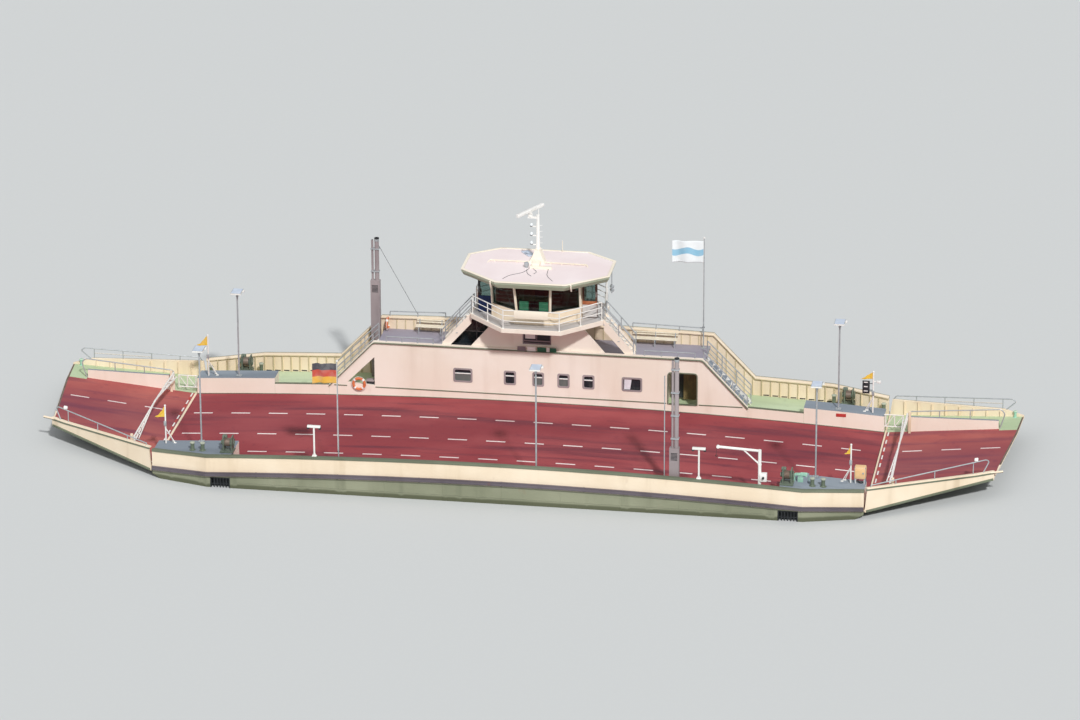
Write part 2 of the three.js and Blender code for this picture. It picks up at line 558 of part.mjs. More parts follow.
// Doors, standing open at right angles to the side walls; each turns on its outer front corner
for (const [name, end] of [["wheelhouse_door_left", -1], ["wheelhouse_door_right", 1]]) {
  const c = DOOR.clearance;
  const hinge = SILL_HALF[1][0] - WALL / 2 + DOOR.leaf / 2;
  const width = DOOR.y[1] - DOOR.y[0] - 2 * c;
  const across = (from, to) => [end * (hinge + from), end * (hinge + to)].sort((a, b) => a - b);
  const frame = block(across(0, width), [DOOR.y[0] + c, DOOR.y[0] + c + DOOR.leaf], DOOR.z);
  const pane = block(across(60, width - 60), [DOOR.y[0], DOOR.y[0] + c + 2 * DOOR.leaf],
    [SILL_Z, DOOR.z[1] - 70]);
  add(name, frame.subtract(pane), "cream");
}

// Flat roof with a fascia that leans in below it
const roofOutline = octagon(ROOF_HALF);
add("wheelhouse_roof", union([
  loft(atZ(octagon(inset(ROOF_HALF, 60)), HEAD_Z + GAP), atZ(roofOutline, ROOF_Z - 60)),
  prismZ(roofOutline, ROOF_Z - 60, ROOF_Z),
]), "roofPink");

// Mast with its brackets, and the radar scanner that turns on it
const MAST = { x: -60, y: 2560, top: 5540, scannerX: -260, scannerZ: 5600 };
const SCANNER = { length: 1120, height: 90, width: 90, angle: 63 };
add("mast", union([
  rod([MAST.x, MAST.y, ROOF_Z + GAP], [MAST.x, MAST.y, MAST.top], 62, 8, 40),
  block([MAST.x - 110, MAST.x + 110], [MAST.y - 110, MAST.y + 110], [ROOF_Z + GAP, ROOF_Z + 60]),
  ...[4700, 4950, 5200].map((z) => block([MAST.x - 200, MAST.x], [MAST.y - 15, MAST.y + 15], [z, z + 24])),
  block([MAST.scannerX - 60, MAST.x], [MAST.y - 40, MAST.y + 40], [MAST.top - 100, MAST.top - 60]),
  rod([MAST.scannerX, MAST.y, MAST.top - 70], [MAST.scannerX, MAST.y, MAST.scannerZ - 55], 60, 10),
]), "white");
const scanner = union([
  rod([0, 0, -45], [0, 0, 10], 50, 10),
  block([-SCANNER.length / 2, SCANNER.length / 2], [-SCANNER.width / 2, SCANNER.width / 2],
    [0, SCANNER.height]),
]).rotate([0, 0, SCANNER.angle]).translate([MAST.scannerX, MAST.y, MAST.scannerZ]);
add("radar_scanner", scanner, "white");

// Exhaust uprights: a casing below, one thick and one thin pipe above it
const EXHAUSTS = [
  { name: "exhaust_near", x: 4395, y: -3400, boxTop: 1700, top: 4095, thin: -100 },
  { name: "exhaust_far", x: -4490, y: 3400, boxTop: 3180, top: 4360, thin: -120 },
];
for (const { name, x, y, boxTop, top, thin } of EXHAUSTS) {
  const foot = deckZ(Math.abs(x) - 180) + GAP + 2;
  add(name, union([
    block([x - 170, x + 75], [y - 80, y + 80], [foot, boxTop]),
    rod([x, y, boxTop - 20], [x, y, top], 58, 10),
    rod([x + thin, y, boxTop - 20], [x + thin, y, top - 60], 30, 8),
  ]), "galvanised");
}

// Lamp posts with a flat head
const LAMPS = [
  // x, y and z of the head, and the floor that the foot stands on
  { name: "lamp_near_left", x: -7955, y: -2560, top: 3320, foot: platformZ },
  { name: "lamp_near_right", x: 7810, y: -2560, top: 3290, foot: platformZ },
  { name: "lamp_near_middle", x: 850, y: -3440, top: 3670, foot: deckZ },
  { name: "lamp_far_left", x: -7985, y: 2110, top: 3150, foot: platformZ },
  { name: "lamp_far_right", x: 7884, y: 2110, top: 3200, foot: platformZ },
];
const LAMP = { radius: 22, base: 70, head: [270, 380, 45] };
for (const { name, x, y, top, foot } of LAMPS) {
  const [w, d, h] = LAMP.head;
  const z0 = foot(Math.abs(x) - LAMP.base) + GAP + 2;
  add(name, union([
    rod([x, y, z0], [x, y, top], LAMP.radius, 8),
    block([x - LAMP.base, x + LAMP.base], [y - LAMP.base, y + LAMP.base], [z0, z0 + 15]),
    block([x - w / 2, x + w / 2], [y - d / 2, y + d / 2], [top - h, top]),
  ]), "galvanised");
}

// Flagpoles and their flags, each flag a plain cloth flown to the left
const FLAGPOLES = [
  { name: "near", x: -4210, y: -3440, foot: deckZ, top: 3530, hoist: [2930, 3460], fly: 640 },
  { name: "far", x: 4175, y: 3430, foot: () => UPPER_DECK_Z, top: 4815, hoist: [4130, 4720], fly: 830 },
];
const CLOTH = 8;
for (const { name, x, y, foot, top, hoist, fly } of FLAGPOLES) {
  const z0 = foot(x) + GAP + 2;
  add(`flagpole_${name}`, union([
    rod([x, y, z0], [x, y, top], 18, 8, 12),
    rod([x, y, top - 10], [x, y, top + 25], 24, 8),
    block([x - 60, x + 60], [y - 60, y + 60], [z0, z0 + 15]),
  ]), "white");
  add(`flag_${name}`, block([x - 20 - fly, x - 20], [y - CLOTH / 2, y + CLOTH / 2], hoist), "flagCloth");
}

// Signal posts on struts, each with a small pennant flown to the left
const SIGNAL_POSTS = [
  { name: "signal_post_near_left", x: -8850, y: -2710, top: 1770 },
  { name: "signal_post_near_right", x: 8710, y: -2710, top: 1770 },
  { name: "signal_post_far_left", x: -8800, y: 2090, top: 1870 },
  { name: "signal_post_far_right", x: 8780, y: 2090, top: 1870 },
];
const PENNANT = { length: 280, height: 180 };
for (const { name, x, y, top } of SIGNAL_POSTS) {
  const z0 = platformZ(Math.abs(x) - 250) + GAP + 2;
  const inward = -Math.sign(x);
  add(name, union([
    rod([x, y, z0], [x, y, top], 20, 8),
    rod([x + inward * 220, y + 60, z0], [x, y, z0 + 420], 12),
    rod([x + inward * 160, y + 150, z0], [x, y, z0 + 420], 12),
    block([x - 10 - PENNANT.length, x - 10], [y - CLOTH / 2, y + CLOTH / 2],
      [top - PENNANT.height - 20, top - 20]),
  ]), "white");
}

// Mooring winches: a drum between two cheeks on a bed
const WINCHES = [
  { name: "winch_near_left", x: -7130, y: -3200, floor: platformZ, pedestal: 0 },
  { name: "winch_near_right", x: 7160, y: -3200, floor: platformZ, pedestal: 0 },
  { name: "winch_far_left", x: -8030, y: 3200, floor: deckZ, pedestal: 190 },
  { name: "winch_far_right", x: 8030, y: 3200, floor: deckZ, pedestal: 190 },
];
const WINCH = { half: 170, depth: 150, drum: 105, height: 400 };
for (const { name, x, y, floor, pedestal } of WINCHES) {
  const foot = floor(Math.abs(x) - WINCH.half) + GAP + 2;
  const z0 = foot + pedestal;
  const axisZ = z0 + WINCH.height - 160;
  const cheek = (dx) => block([x + dx - 15, x + dx + 15], [y - 130, y + 130], [z0, z0 + WINCH.height]);
  add(name, union([
    block([x - WINCH.half, x + WINCH.half], [y - WINCH.depth, y + WINCH.depth], [foot, z0 + 40]),
    cheek(-90), cheek(120),
    rod([x - 160, y, axisZ], [x + 130, y, axisZ], WINCH.drum * 0.6, 12),
    rod([x - 80, y, axisZ], [x + 110, y, axisZ], WINCH.drum, 12),
  ]), "winchGreen");
}

// Boat davit on the near side: a socket on the deck, and the crane that swings in it
const DAVIT = { x: 6495, y: -3400, socketTop: 720, top: 1770, reach: 1050 };
add("davit_socket", rod([DAVIT.x, DAVIT.y, deckZ(DAVIT.x - 70) + GAP + 2],
  [DAVIT.x, DAVIT.y, DAVIT.socketTop], 70, 12), "white");
add("davit", union([
  rod([DAVIT.x, DAVIT.y, DAVIT.socketTop + 6], [DAVIT.x, DAVIT.y, DAVIT.top], 42, 10),
  rod([DAVIT.x, DAVIT.y, DAVIT.top - 30], [DAVIT.x - DAVIT.reach, DAVIT.y, DAVIT.top + 20], 34, 8),
  rod([DAVIT.x, DAVIT.y, DAVIT.top - 400], [DAVIT.x - 430, DAVIT.y, DAVIT.top - 10], 20, 6),
  block([DAVIT.x + 20, DAVIT.x + 180], [DAVIT.y - 70, DAVIT.y + 70], [DAVIT.top - 830, DAVIT.top - 630]),
]), "white");

// Ramps. The right-hand one is built, and the left-hand one mirrors it.
const RAMP = {
  thickness: 80, girder: 60, tipX: 12200, tipNearY: -1325, farTipX: 12650, farTipY: 2835,
  lip: [[12310, -495], [12565, 1640]], nearTop: [820, 690], farTop: [692, 733],
  wall: { x: [9700, 12050], top: [728, 762], thickness: 40 },
  bollard: { x: 12420, y: 2760, radius: 32, height: 180, cap: 52 },
};
const NEAR_EDGE = [[AXIS.x, -END_HALF_BEAM], [RAMP.tipX, RAMP.tipNearY]];
const FAR_EDGE = [[AXIS.x, END_HALF_BEAM], [RAMP.farTipX, RAMP.farTipY]];
const edgeY = ([[x0, y0], [x1, y1]], x) => y0 + ((y1 - y0) * (x - x0)) / (x1 - x0);
const nearTopZ = (x) => edgeY([[9185, RAMP.nearTop[0]], [11790, RAMP.nearTop[1]]], x);

// Barrier arms, whose tips nearly meet; each turns on a post beside it
const ARM_PIVOT_Z = 780;
const ARM_MEETING_Y = -300;
const ARM_TIP_GAP = 20;
const ARMS = [
  // side, y of the pivot, y of the tip
  { side: "near", footY: edgeY(NEAR_EDGE, BARRIER_X) + 260, tipY: ARM_MEETING_Y - ARM_TIP_GAP },
  { side: "far", footY: WALL_Y - 100, tipY: ARM_MEETING_Y + ARM_TIP_GAP },
];

// Strip of a ramp inside one of its edges
const edgeStrip = ([[x0, y0], [x1, y1]], depth) => [[x0, y0], [x1, y1], [x1, y1 + depth], [x0, y0 + depth]];

function buildRamp() {
  const under = (x) => rampZ(x) - RAMP.thickness;
  const plan = [NEAR_EDGE[0], NEAR_EDGE[1], ...RAMP.lip, FAR_EDGE[1], FAR_EDGE[0]];
  const farX = RAMP.farTipX;
  const plate = prismY([[AXIS.x, under(AXIS.x) + 30], [AXIS.x + 200, under(AXIS.x + 200)],
    [farX, rampZ(farX) - 35], [farX, rampZ(farX)], [AXIS.x, rampZ(AXIS.x)]], -HALF_BEAM, HALF_BEAM)
    .intersect(prismZ(plan, 0, 900));
  const barrel = rod([AXIS.x, -END_HALF_BEAM, AXIS.z], [AXIS.x, END_HALF_BEAM, AXIS.z], AXIS.radius, 12);
  const nearProfile = [[AXIS.x, under(AXIS.x) + 5], [RAMP.tipX, under(RAMP.tipX)], [RAMP.tipX, 690],
    [11790, nearTopZ(11790)], [9185, nearTopZ(9185)], [AXIS.x, AXIS.z + 40]];
  const near = prismY(nearProfile, -HALF_BEAM, HALF_BEAM)
    .intersect(prismZ(edgeStrip(NEAR_EDGE, RAMP.girder + 20), 0, 1200));
  const farProfile = [[AXIS.x, under(AXIS.x) + 5], [farX, under(farX) + 30], [farX, rampZ(farX) + 30],
    [12150, RAMP.farTop[1]], [9190, RAMP.farTop[0]], [AXIS.x, AXIS.z + 40]];
  const far = prismY(farProfile, -HALF_BEAM, HALF_BEAM)
    .intersect(prismZ([...edgeStrip(FAR_EDGE, -RAMP.girder)].reverse(), 0, 1200));
  const { x: [w0, w1], top: [top0, top1] } = RAMP.wall;
  const wall = prismY([[w0, rampZ(w0) - 10], [w1, rampZ(w1) - 10], [w1, top1], [w0, top0]],
    WALL_Y, WALL_Y + RAMP.wall.thickness);
  const horn = rod([RAMP.tipX - 150, RAMP.tipNearY - 50, 660], [12420, RAMP.tipNearY + 20, 695], 30, 8);
  const ribs = [];
  for (let x = 9500; x < 12200; x += RIB.pitch) {
    const y = edgeY(FAR_EDGE, x) - RAMP.girder;
    ribs.push(block([x, x + RIB.thickness], [y - RIB.depth, y + 5], [rampZ(x) - 5, RAMP.farTop[0] - 5]));
  }
  const nearFoot = (x) => [x, edgeY(NEAR_EDGE, x) + 50, nearTopZ(x)];
  const rails = [
    rod([...nearFoot(9260).slice(0, 2), 870], [...nearFoot(11760).slice(0, 2), 1015], RAIL_RADIUS, 4),
    ...[9260, 9850, 10770, 11690].map((x) => {
      const [px, py, pz] = nearFoot(x);
      return rod([px, py, pz - 10], [px, py, 870 + ((x - 9260) / 2500) * 145], POST_RADIUS, 4);
    }),
  ];
  const farFoot = (x) => [x, edgeY(FAR_EDGE, x) - 30];
  const farTopZ = (x) => edgeY([[9190, RAMP.farTop[0]], [12150, RAMP.farTop[1]]], x);
  const innerFoot = (x) => [x, WALL_Y + RAMP.wall.thickness / 2];
  const bars = [
    [[...farFoot(9215), 690], [...farFoot(9290), 795], [...farFoot(12343), 1027], [...farFoot(12430), 957],
      [...farFoot(12180), 722]],
    [[...farFoot(10566), 785], [...farFoot(12086), 880]],
    [[...farFoot(12120), 725], [...farFoot(12430), rampZ(12430) + 5]],
    [[...innerFoot(9730), 700], [...innerFoot(9730), 860], [...innerFoot(12110), 1058],
      [...innerFoot(12210), 940], [...innerFoot(12080), rampZ(12080) - 5]],
  ];
  for (const bar of bars) {
    for (let i = 0; i + 1 < bar.length; i += 1) {
      rails.push(rod(bar[i], bar[i + 1], RAIL_RADIUS, 4));
    }
  }
  for (const x of [9816, 10566, 11326, 12086]) {
    const top = 795 + (x - 9290) * 0.076;
    rails.push(rod([...farFoot(x), farTopZ(x) - 20], [...farFoot(x), top], POST_RADIUS, 4));
  }
  for (const x of [10520, 11310]) {
    rails.push(rod([...innerFoot(x), 720], [...innerFoot(x), 860 + (x - 9730) * 0.083], POST_RADIUS, 4));
  }
  const tip = bollard(RAMP.bollard.x, RAMP.bollard.y, rampZ(RAMP.bollard.x), RAMP.bollard);
  const posts = ARMS.map(({ footY }) => block([BARRIER_X + 34, BARRIER_X + 94], [footY - 30, footY + 30],
    [rampZ(BARRIER_X) - 10, ARM_PIVOT_Z + 125]));
  return union([plate, barrel, near, far, wall, horn, tip, ...ribs, ...rails, ...posts]);
}
const rightRamp = buildRamp();
add("ramp_right", rightRamp, "deckRed");
add("ramp_left", rightRamp.mirror([1, 0, 0]), "deckRed");

// Barrier arms on the ramps, each two tubes that meet at the tip
function buildArm({ footY, tipY }) {
  const towards = Math.sign(tipY - footY);
  const low = [BARRIER_X, footY + towards * 30, ARM_PIVOT_Z - 90];
  const high = [BARRIER_X, footY + towards * 30, ARM_PIVOT_Z + 60];
  const tip = [BARRIER_X, tipY, ARM_PIVOT_Z + 110];
  const plate = [footY - towards * 12, footY + towards * 60].sort((a, b) => a - b);
  return union([
    rod(low, tip, 22, 8), rod(high, tip, 22, 8), rod(low, high, 22, 8),
    block([BARRIER_X - 20, BARRIER_X + 20], plate, [ARM_PIVOT_Z - 110, ARM_PIVOT_Z + 80]),
  ]);
}
for (const arm of ARMS) {
  const right = buildArm(arm);
  add(`barrier_${arm.side}_right`, right, "white");
  add(`barrier_${arm.side}_left`, right.mirror([1, 0, 0]), "white");
}

// Steering thrusters under two opposite corners, each with a propeller on its pod
const THRUSTER = { x: 7800, y: 1700, podZ: -800, top: -560, legRadius: 90, podRadius: 85, podLength: 420 };
const PROPELLER = { radius: 200, hub: 60, blades: 4, chord: 130, offset: 20 };
function buildThruster() {
  const { podZ, top, legRadius, podRadius, podLength } = THRUSTER;
  const profile = [[0, -podLength / 2], [podRadius * 0.7, -podLength / 2], [podRadius, -podLength / 4],
    [podRadius, podLength / 5], [podRadius * 0.6, podLength * 0.42], [0, podLength / 2]];
  const lathe = new THREE.LatheGeometry(profile.map(([r, h]) => new THREE.Vector2(r, h)), 14);
  return union([
    solidOf(lathe).rotate([0, 0, -90]).translate([0, 0, podZ]),
    rod([0, 0, podZ], [0, 0, top], legRadius * 0.7, 12),
    rod([0, 0, top - 40], [0, 0, top], 150, 16),
    block([-30, 30], [-8, 8], [podZ - 170, podZ]),
  ]);
}

function buildPropeller() {
  const { radius, hub, blades, chord } = PROPELLER;
  const x0 = -THRUSTER.podLength / 2 - PROPELLER.offset;
  const pieces = [rod([x0 - 80, 0, 0], [x0, 0, 0], hub * 0.6, 14, hub)];
  for (let k = 0; k < blades; k += 1) {
    const blade = prismY([[-chord / 2, 30], [chord / 2, 30], [chord * 0.62, radius * 0.6],
      [chord * 0.35, radius], [-chord * 0.35, radius], [-chord * 0.62, radius * 0.6]], -6, 6)
      .rotate([0, 0, 62]).translate([x0 - 42, 0, 0]).rotate([(360 / blades) * k, 0, 0]);
    pieces.push(blade);
  }
  return union(pieces).translate([0, 0, THRUSTER.podZ]);
}
const THRUSTERS = [
  { name: "left", x: -THRUSTER.x, y: THRUSTER.y, turn: 0 },
  { name: "right", x: THRUSTER.x, y: -THRUSTER.y, turn: 180 },
];
for (const { name, x, y, turn } of THRUSTERS) {
  add(`thruster_${name}`, buildThruster().rotate([0, 0, turn]).translate([x, y, 0]), "hullGreen");
  add(`propeller_${name}`, buildPropeller().rotate([0, 0, turn]).translate([x, y, 0]), "bronze");
}

export default group;
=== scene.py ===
"""Looks of a double-ended river car ferry, a 1:2 scale model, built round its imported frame.

Metres, +Z up, +X to the right-hand end, -Y to the side with the low bulwark. The origin is
amidships on the centreline at the waterline.
"""
from __future__ import annotations

import json
import logging
import math
from collections.abc import Callable
from dataclasses import dataclass
from enum import Enum

import bpy
import numpy as np
from mathutils import Matrix, Vector

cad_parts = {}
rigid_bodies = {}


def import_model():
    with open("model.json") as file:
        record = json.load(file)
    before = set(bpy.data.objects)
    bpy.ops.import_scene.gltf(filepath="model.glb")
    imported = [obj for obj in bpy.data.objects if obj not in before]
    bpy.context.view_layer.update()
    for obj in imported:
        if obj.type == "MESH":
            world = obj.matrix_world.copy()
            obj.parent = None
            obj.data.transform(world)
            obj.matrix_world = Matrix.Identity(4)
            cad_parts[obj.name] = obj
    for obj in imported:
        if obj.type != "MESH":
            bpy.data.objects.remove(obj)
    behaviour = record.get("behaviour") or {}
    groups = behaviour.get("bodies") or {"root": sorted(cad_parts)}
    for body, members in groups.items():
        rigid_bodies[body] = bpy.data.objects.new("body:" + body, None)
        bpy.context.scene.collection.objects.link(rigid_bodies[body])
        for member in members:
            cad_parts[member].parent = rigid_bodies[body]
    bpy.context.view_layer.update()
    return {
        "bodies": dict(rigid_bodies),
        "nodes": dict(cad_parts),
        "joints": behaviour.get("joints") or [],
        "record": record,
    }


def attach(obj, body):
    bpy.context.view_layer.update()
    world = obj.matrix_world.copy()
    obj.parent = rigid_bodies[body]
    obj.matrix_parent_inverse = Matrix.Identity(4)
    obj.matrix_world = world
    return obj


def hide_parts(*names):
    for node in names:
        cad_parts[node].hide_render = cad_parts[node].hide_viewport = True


LOG = logging.getLogger("ferry")
Array = np.ndarray
Point = tuple[float, float, float]
Socket = bpy.types.NodeSocket
HOUSE_Y = 2.25  # between the front and the rear corners of the wheelhouse, its gallery and roof
AXES = {"Z": [0, 1, 2], "X": [2, 0, 1], "Y": [1, 2, 0]}  # from a shape's own axes to the boat's
FACE = 0.004  # how far a painted face stands to both sides of the frame's own surface


# Colours and node graphs

def linear(code: str) -> tuple[float, float, float, float]:
    """Turn a six-digit sRGB code into linear colour with an alpha of 1.

    Args:
        code: the six digits.

    Returns:
        Red, green, blue and alpha.
    """
    levels = np.array([int(code[i:i + 2], 16) for i in (0, 2, 4)]) / 255
    bright = ((levels + 0.055) / 1.055) ** 2.4
    return (*np.where(levels > 0.04045, bright, levels / 12.92).tolist(), 1.0)


class Graph:
    """Node tree of one material, with short calls for the nodes that the finishes use."""

    def __init__(self, name: str) -> None:
        """Start a material that has its principled shader and object coordinates.

        Args:
            name: its name.
        """
        self.material = bpy.data.materials.new(name)
        self.material.use_nodes = True
        self.tree = self.material.node_tree
        self.shader = self.tree.nodes["Principled BSDF"]
        coordinates = self.tree.nodes.new("ShaderNodeTexCoord")
        self.object = coordinates.outputs["Object"]
        self.uv = coordinates.outputs["UV"]
        self.normal = coordinates.outputs["Normal"]

    def add(self, kind: str, inputs: dict, **settings: object) -> bpy.types.Node:
        """Add a node.

        Args:
            kind: Blender's name of the node, after ShaderNode.
            inputs: socket name or number to a value or to another node's output.
            settings: properties of the node itself.

        Returns:
            The new node.
        """
        node = self.tree.nodes.new(f"ShaderNode{kind}")
        for key, value in settings.items():
            setattr(node, key, value)
        for key, value in inputs.items():
            if isinstance(value, Socket):
                self.tree.links.new(value, node.inputs[key])
            else:
                node.inputs[key].default_value = value
        return node

    def set(self, **values: object) -> None:
        """Set or link the shader's sockets, whose spaces are written as underscores."""
        for key, value in values.items():
            socket = self.shader.inputs[key.replace("_", " ")]
            if isinstance(value, Socket):
                self.tree.links.new(value, socket)
            else:
                socket.default_value = value

    def math(self, operation: str, first: object, second: object = 0.0) -> Socket:
        """Return the output of a Math node."""
        return self.add("Math", {0: first, 1: second}, operation=operation).outputs[0]

    def times(self, first: object, second: object) -> Socket:
        """Return a product."""
        return self.math("MULTIPLY", first, second)

    def plus(self, first: object, second: object) -> Socket:
        """Return a sum."""
        return self.math("ADD", first, second)

    def axis(self, name: str) -> Socket:
        """Return one object coordinate, X, Y or Z."""
        return self.add("SeparateXYZ", {0: self.object}).outputs[name]

    def facing(self, name: str) -> Socket:
        """Return one component of the surface's own normal."""
        return self.add("SeparateXYZ", {0: self.normal}).outputs[name]

    def noise(self, scale: float, stretch: Point = (1, 1, 1), detail: float = 3.0) -> Socket:
        """Return a noise of object coordinates, squeezed along each axis by `stretch`."""
        place = self.add("Mapping", {"Vector": self.object, "Scale": stretch}).outputs[0]
        return self.add("TexNoise", {"Vector": place, "Scale": scale, "Detail": detail}).outputs[0]

    def span(self, value: object, low: float, high: float) -> Socket:
        """Return 0 below `low` and 1 above `high`, with a smooth change between.

        Args:
            value: what is mapped.
            low: where it starts.
            high: where it ends.

        Returns:
            The new node's output.
        """
        node = self.add("MapRange", {"Value": value, "From Min": low, "From Max": high},
                        interpolation_type="SMOOTHSTEP")
        return node.outputs[0]

    def mix(self, share: object, first: object, second: object) -> Socket:
        """Return a colour that goes from `first` to `second` as `share` goes from 0 to 1.

        Args:
            share: the way from the first colour to the second, 0 to 1.
            first: a colour code, or another node's output.
            second: the same for the other end.

        Returns:
            The mixed colour.
        """
        first, second = (linear(c) if isinstance(c, str) else c for c in (first, second))
        node = self.add("Mix", {0: share, 6: first, 7: second}, data_type="RGBA")
        return node.outputs[2]

    def bump(self, height: Socket, distance: float, strength: float = 1.0) -> Socket:
        """Return a normal bumped by `height`, which stands for `distance` metres."""
        inputs = {"Height": height, "Distance": distance, "Strength": strength}
        return self.add("Bump", inputs).outputs[0]


@dataclass(frozen=True)
class Finish:
    """A surface finish that makes its material once."""

    name: str

    def material(self) -> bpy.types.Material:
        """Return the finish's material, made on first use under a name the frame's own lack."""
        name = f"{self.name}_look"
        found = bpy.data.materials.get(name)
        if found is None:
            graph = Graph(name)
            self.fill(graph)
            found = graph.material
        return found

    def fill(self, graph: Graph) -> None:
        """Build the nodes; each kind of finish has its own."""
        raise NotImplementedError


@dataclass(frozen=True)
class Paint(Finish):
    """Ship's paint on steel: mottled, streaked where upright, with rust in places."""

    colour: str
    faded: str
    grime: str
    roughness: float
    grime_share: float
    rust_share: float
    rust: str = "8a4a25"
    plating: float = 0.004
    slime_top: float = -9.0
    slime: str = "3c4230"
    # Colour for faces that point down, darker than the paint: painted shade on undersides.
    underside: str = ""

    def fill(self, graph: Graph) -> None:
        """Mix mottling, streaks that run down, rust at their heads, a band at the water and painted
        shade on faces that point down.

        Args:
            graph: the material's node tree.
        """
        upright = graph.math("SUBTRACT", 1.0, graph.math("ABSOLUTE", graph.facing("Z")))
        mottle = graph.span(graph.noise(0.7, detail=6), 0.35, 0.7)
        runs = graph.span(graph.noise(2.6, (1, 1, 0.12), 6), 0.5, 0.78)
        runs = graph.times(runs, upright)
        specks = graph.span(graph.noise(5.0, (1, 1, 0.5), 8), 0.6, 0.74)
        colour = graph.mix(mottle, self.colour, self.faded)
        colour = graph.mix(graph.times(runs, self.grime_share), colour, self.grime)
        rusty = graph.times(specks, graph.span(graph.noise(0.9), 0.5, 0.7))
        colour = graph.mix(graph.times(rusty, self.rust_share), colour, self.rust)
        if self.slime_top > -1:
            edge = graph.plus(graph.axis("Z"), graph.times(runs, 0.08))
            wet = graph.span(edge, self.slime_top + 0.05, self.slime_top - 0.02)
            colour = graph.mix(graph.times(wet, 0.8), colour, self.slime)
        # Faces that point down turn to the underside colour: painted shade.
        if self.underside:
            colour = graph.mix(graph.span(graph.facing("Z"), -0.2, -0.5), colour, self.underside)
        rough = graph.plus(self.roughness - 0.08, graph.times(mottle, 0.16))
        waves = graph.times(graph.noise(1.6, detail=1), self.plating)
        fine = graph.times(graph.noise(60.0), 0.0006)
        graph.set(Base_Color=colour, Roughness=rough,
                  Normal=graph.bump(graph.plus(waves, fine), 1.0, 0.6))


@dataclass(frozen=True)
class DeckPaint(Finish):
    """Non-slip deck paint with grit, patches, wheel tracks and a darker band down its middle."""

    colour: str
    faded: str
    dark: str
    tracks: float
    band: float = 0.0
    grit: float = 0.0015
    roughness: float = 0.8

    def fill(self, graph: Graph) -> None:
        """Mix broad patches, the band, smears along X and grit.

        Args:
            graph: the material's node tree.
        """
        patches = graph.span(graph.noise(0.35, (1, 1.6, 1), 5), 0.38, 0.66)
        smears = graph.span(graph.noise(1.4, (0.16, 1.9, 1), 6), 0.48, 0.75)
        spots = graph.span(graph.noise(3.5, detail=8), 0.6, 0.72)
        colour = graph.mix(patches, self.colour, self.faded)
        if self.band:
            away = graph.math("ABSOLUTE", graph.math("SUBTRACT", graph.axis("Y"), -0.1))
            away = graph.plus(away, graph.times(smears, -0.9))
            colour = graph.mix(graph.times(graph.span(away, 1.9, 0.1), self.band), colour,
                               self.dark)
        colour = graph.mix(graph.times(smears, self.tracks), colour, self.dark)
        colour = graph.mix(graph.times(spots, 0.25), colour, self.dark)
        rough = graph.math("SUBTRACT", self.roughness + 0.05, graph.times(smears, 0.2))
        grain = graph.noise(260.0, detail=2)
        graph.set(Base_Color=colour, Roughness=rough, Normal=graph.bump(grain, self.grit, 0.7))


@dataclass(frozen=True)
class Metal(Finish):
    """Bare or galvanised metal with a cloudy surface."""

    colour: str
    cloud: str
    roughness: float
    metallic: float
    scale: float = 14.0

    def fill(self, graph: Graph) -> None:
        """Mix two clouds of spangle and a slight bump.

        Args:
            graph: the material's node tree.
        """
        cells = graph.add("TexVoronoi", {"Vector": graph.object, "Scale": self.scale})
        share = graph.times(cells.outputs["Color"], 0.6)
        clouds = graph.plus(share, graph.times(graph.noise(3.0), 0.5))
        rough = graph.plus(self.roughness - 0.1, graph.times(clouds, 0.2))
        graph.set(Base_Color=graph.mix(clouds, self.colour, self.cloud), Metallic=self.metallic,
                  Roughness=rough, Normal=graph.bump(graph.noise(90.0), 0.0008, 0.5))


@dataclass(frozen=True)
class Glass(Finish):
    """Tinted window glass, or a pane with nothing to see behind it."""

    tint: str
    transmission: float = 1.0
    dust: float = 0.12

    def fill(self, graph: Graph) -> None:
        """Tint the glass and lay dust and old drops on it.

        Args:
            graph: the material's node tree.
        """
        film = graph.span(graph.noise(6.0, (1, 1, 0.3), 6), 0.45, 0.8)
        rough = graph.plus(0.03, graph.times(film, self.dust))
        colour = graph.mix(graph.times(film, self.dust), self.tint, "b9b7ab")
        graph.set(Base_Color=colour, Roughness=rough, IOR=1.45,
                  Transmission_Weight=self.transmission)


@dataclass(frozen=True)
class Plastic(Finish):
    """Moulded plastic, rubber, wood or enamel, and flat painted shade: one colour with wear and a
    fine grain.
    """

    colour: str
    worn: str
    roughness: float
    grain: float = 0.0005
    grain_scale: float = 80.0
    glow: float = 0.0

    def fill(self, graph: Graph) -> None:
        """Mix the colour with its worn shade and bump the grain.

        Args:
            graph: the material's node tree.
        """
        wear = graph.span(graph.noise(7.0, detail=6), 0.42, 0.7)
        rough = graph.plus(self.roughness - 0.06, graph.times(wear, 0.14))
        colour = graph.mix(wear, self.colour, self.worn)
        graph.set(Base_Color=colour, Roughness=rough,
                  Normal=graph.bump(graph.noise(self.grain_scale), self.grain, 0.6))
        if self.glow:
            graph.set(Emission_Color=linear(self.colour), Emission_Strength=self.glow)


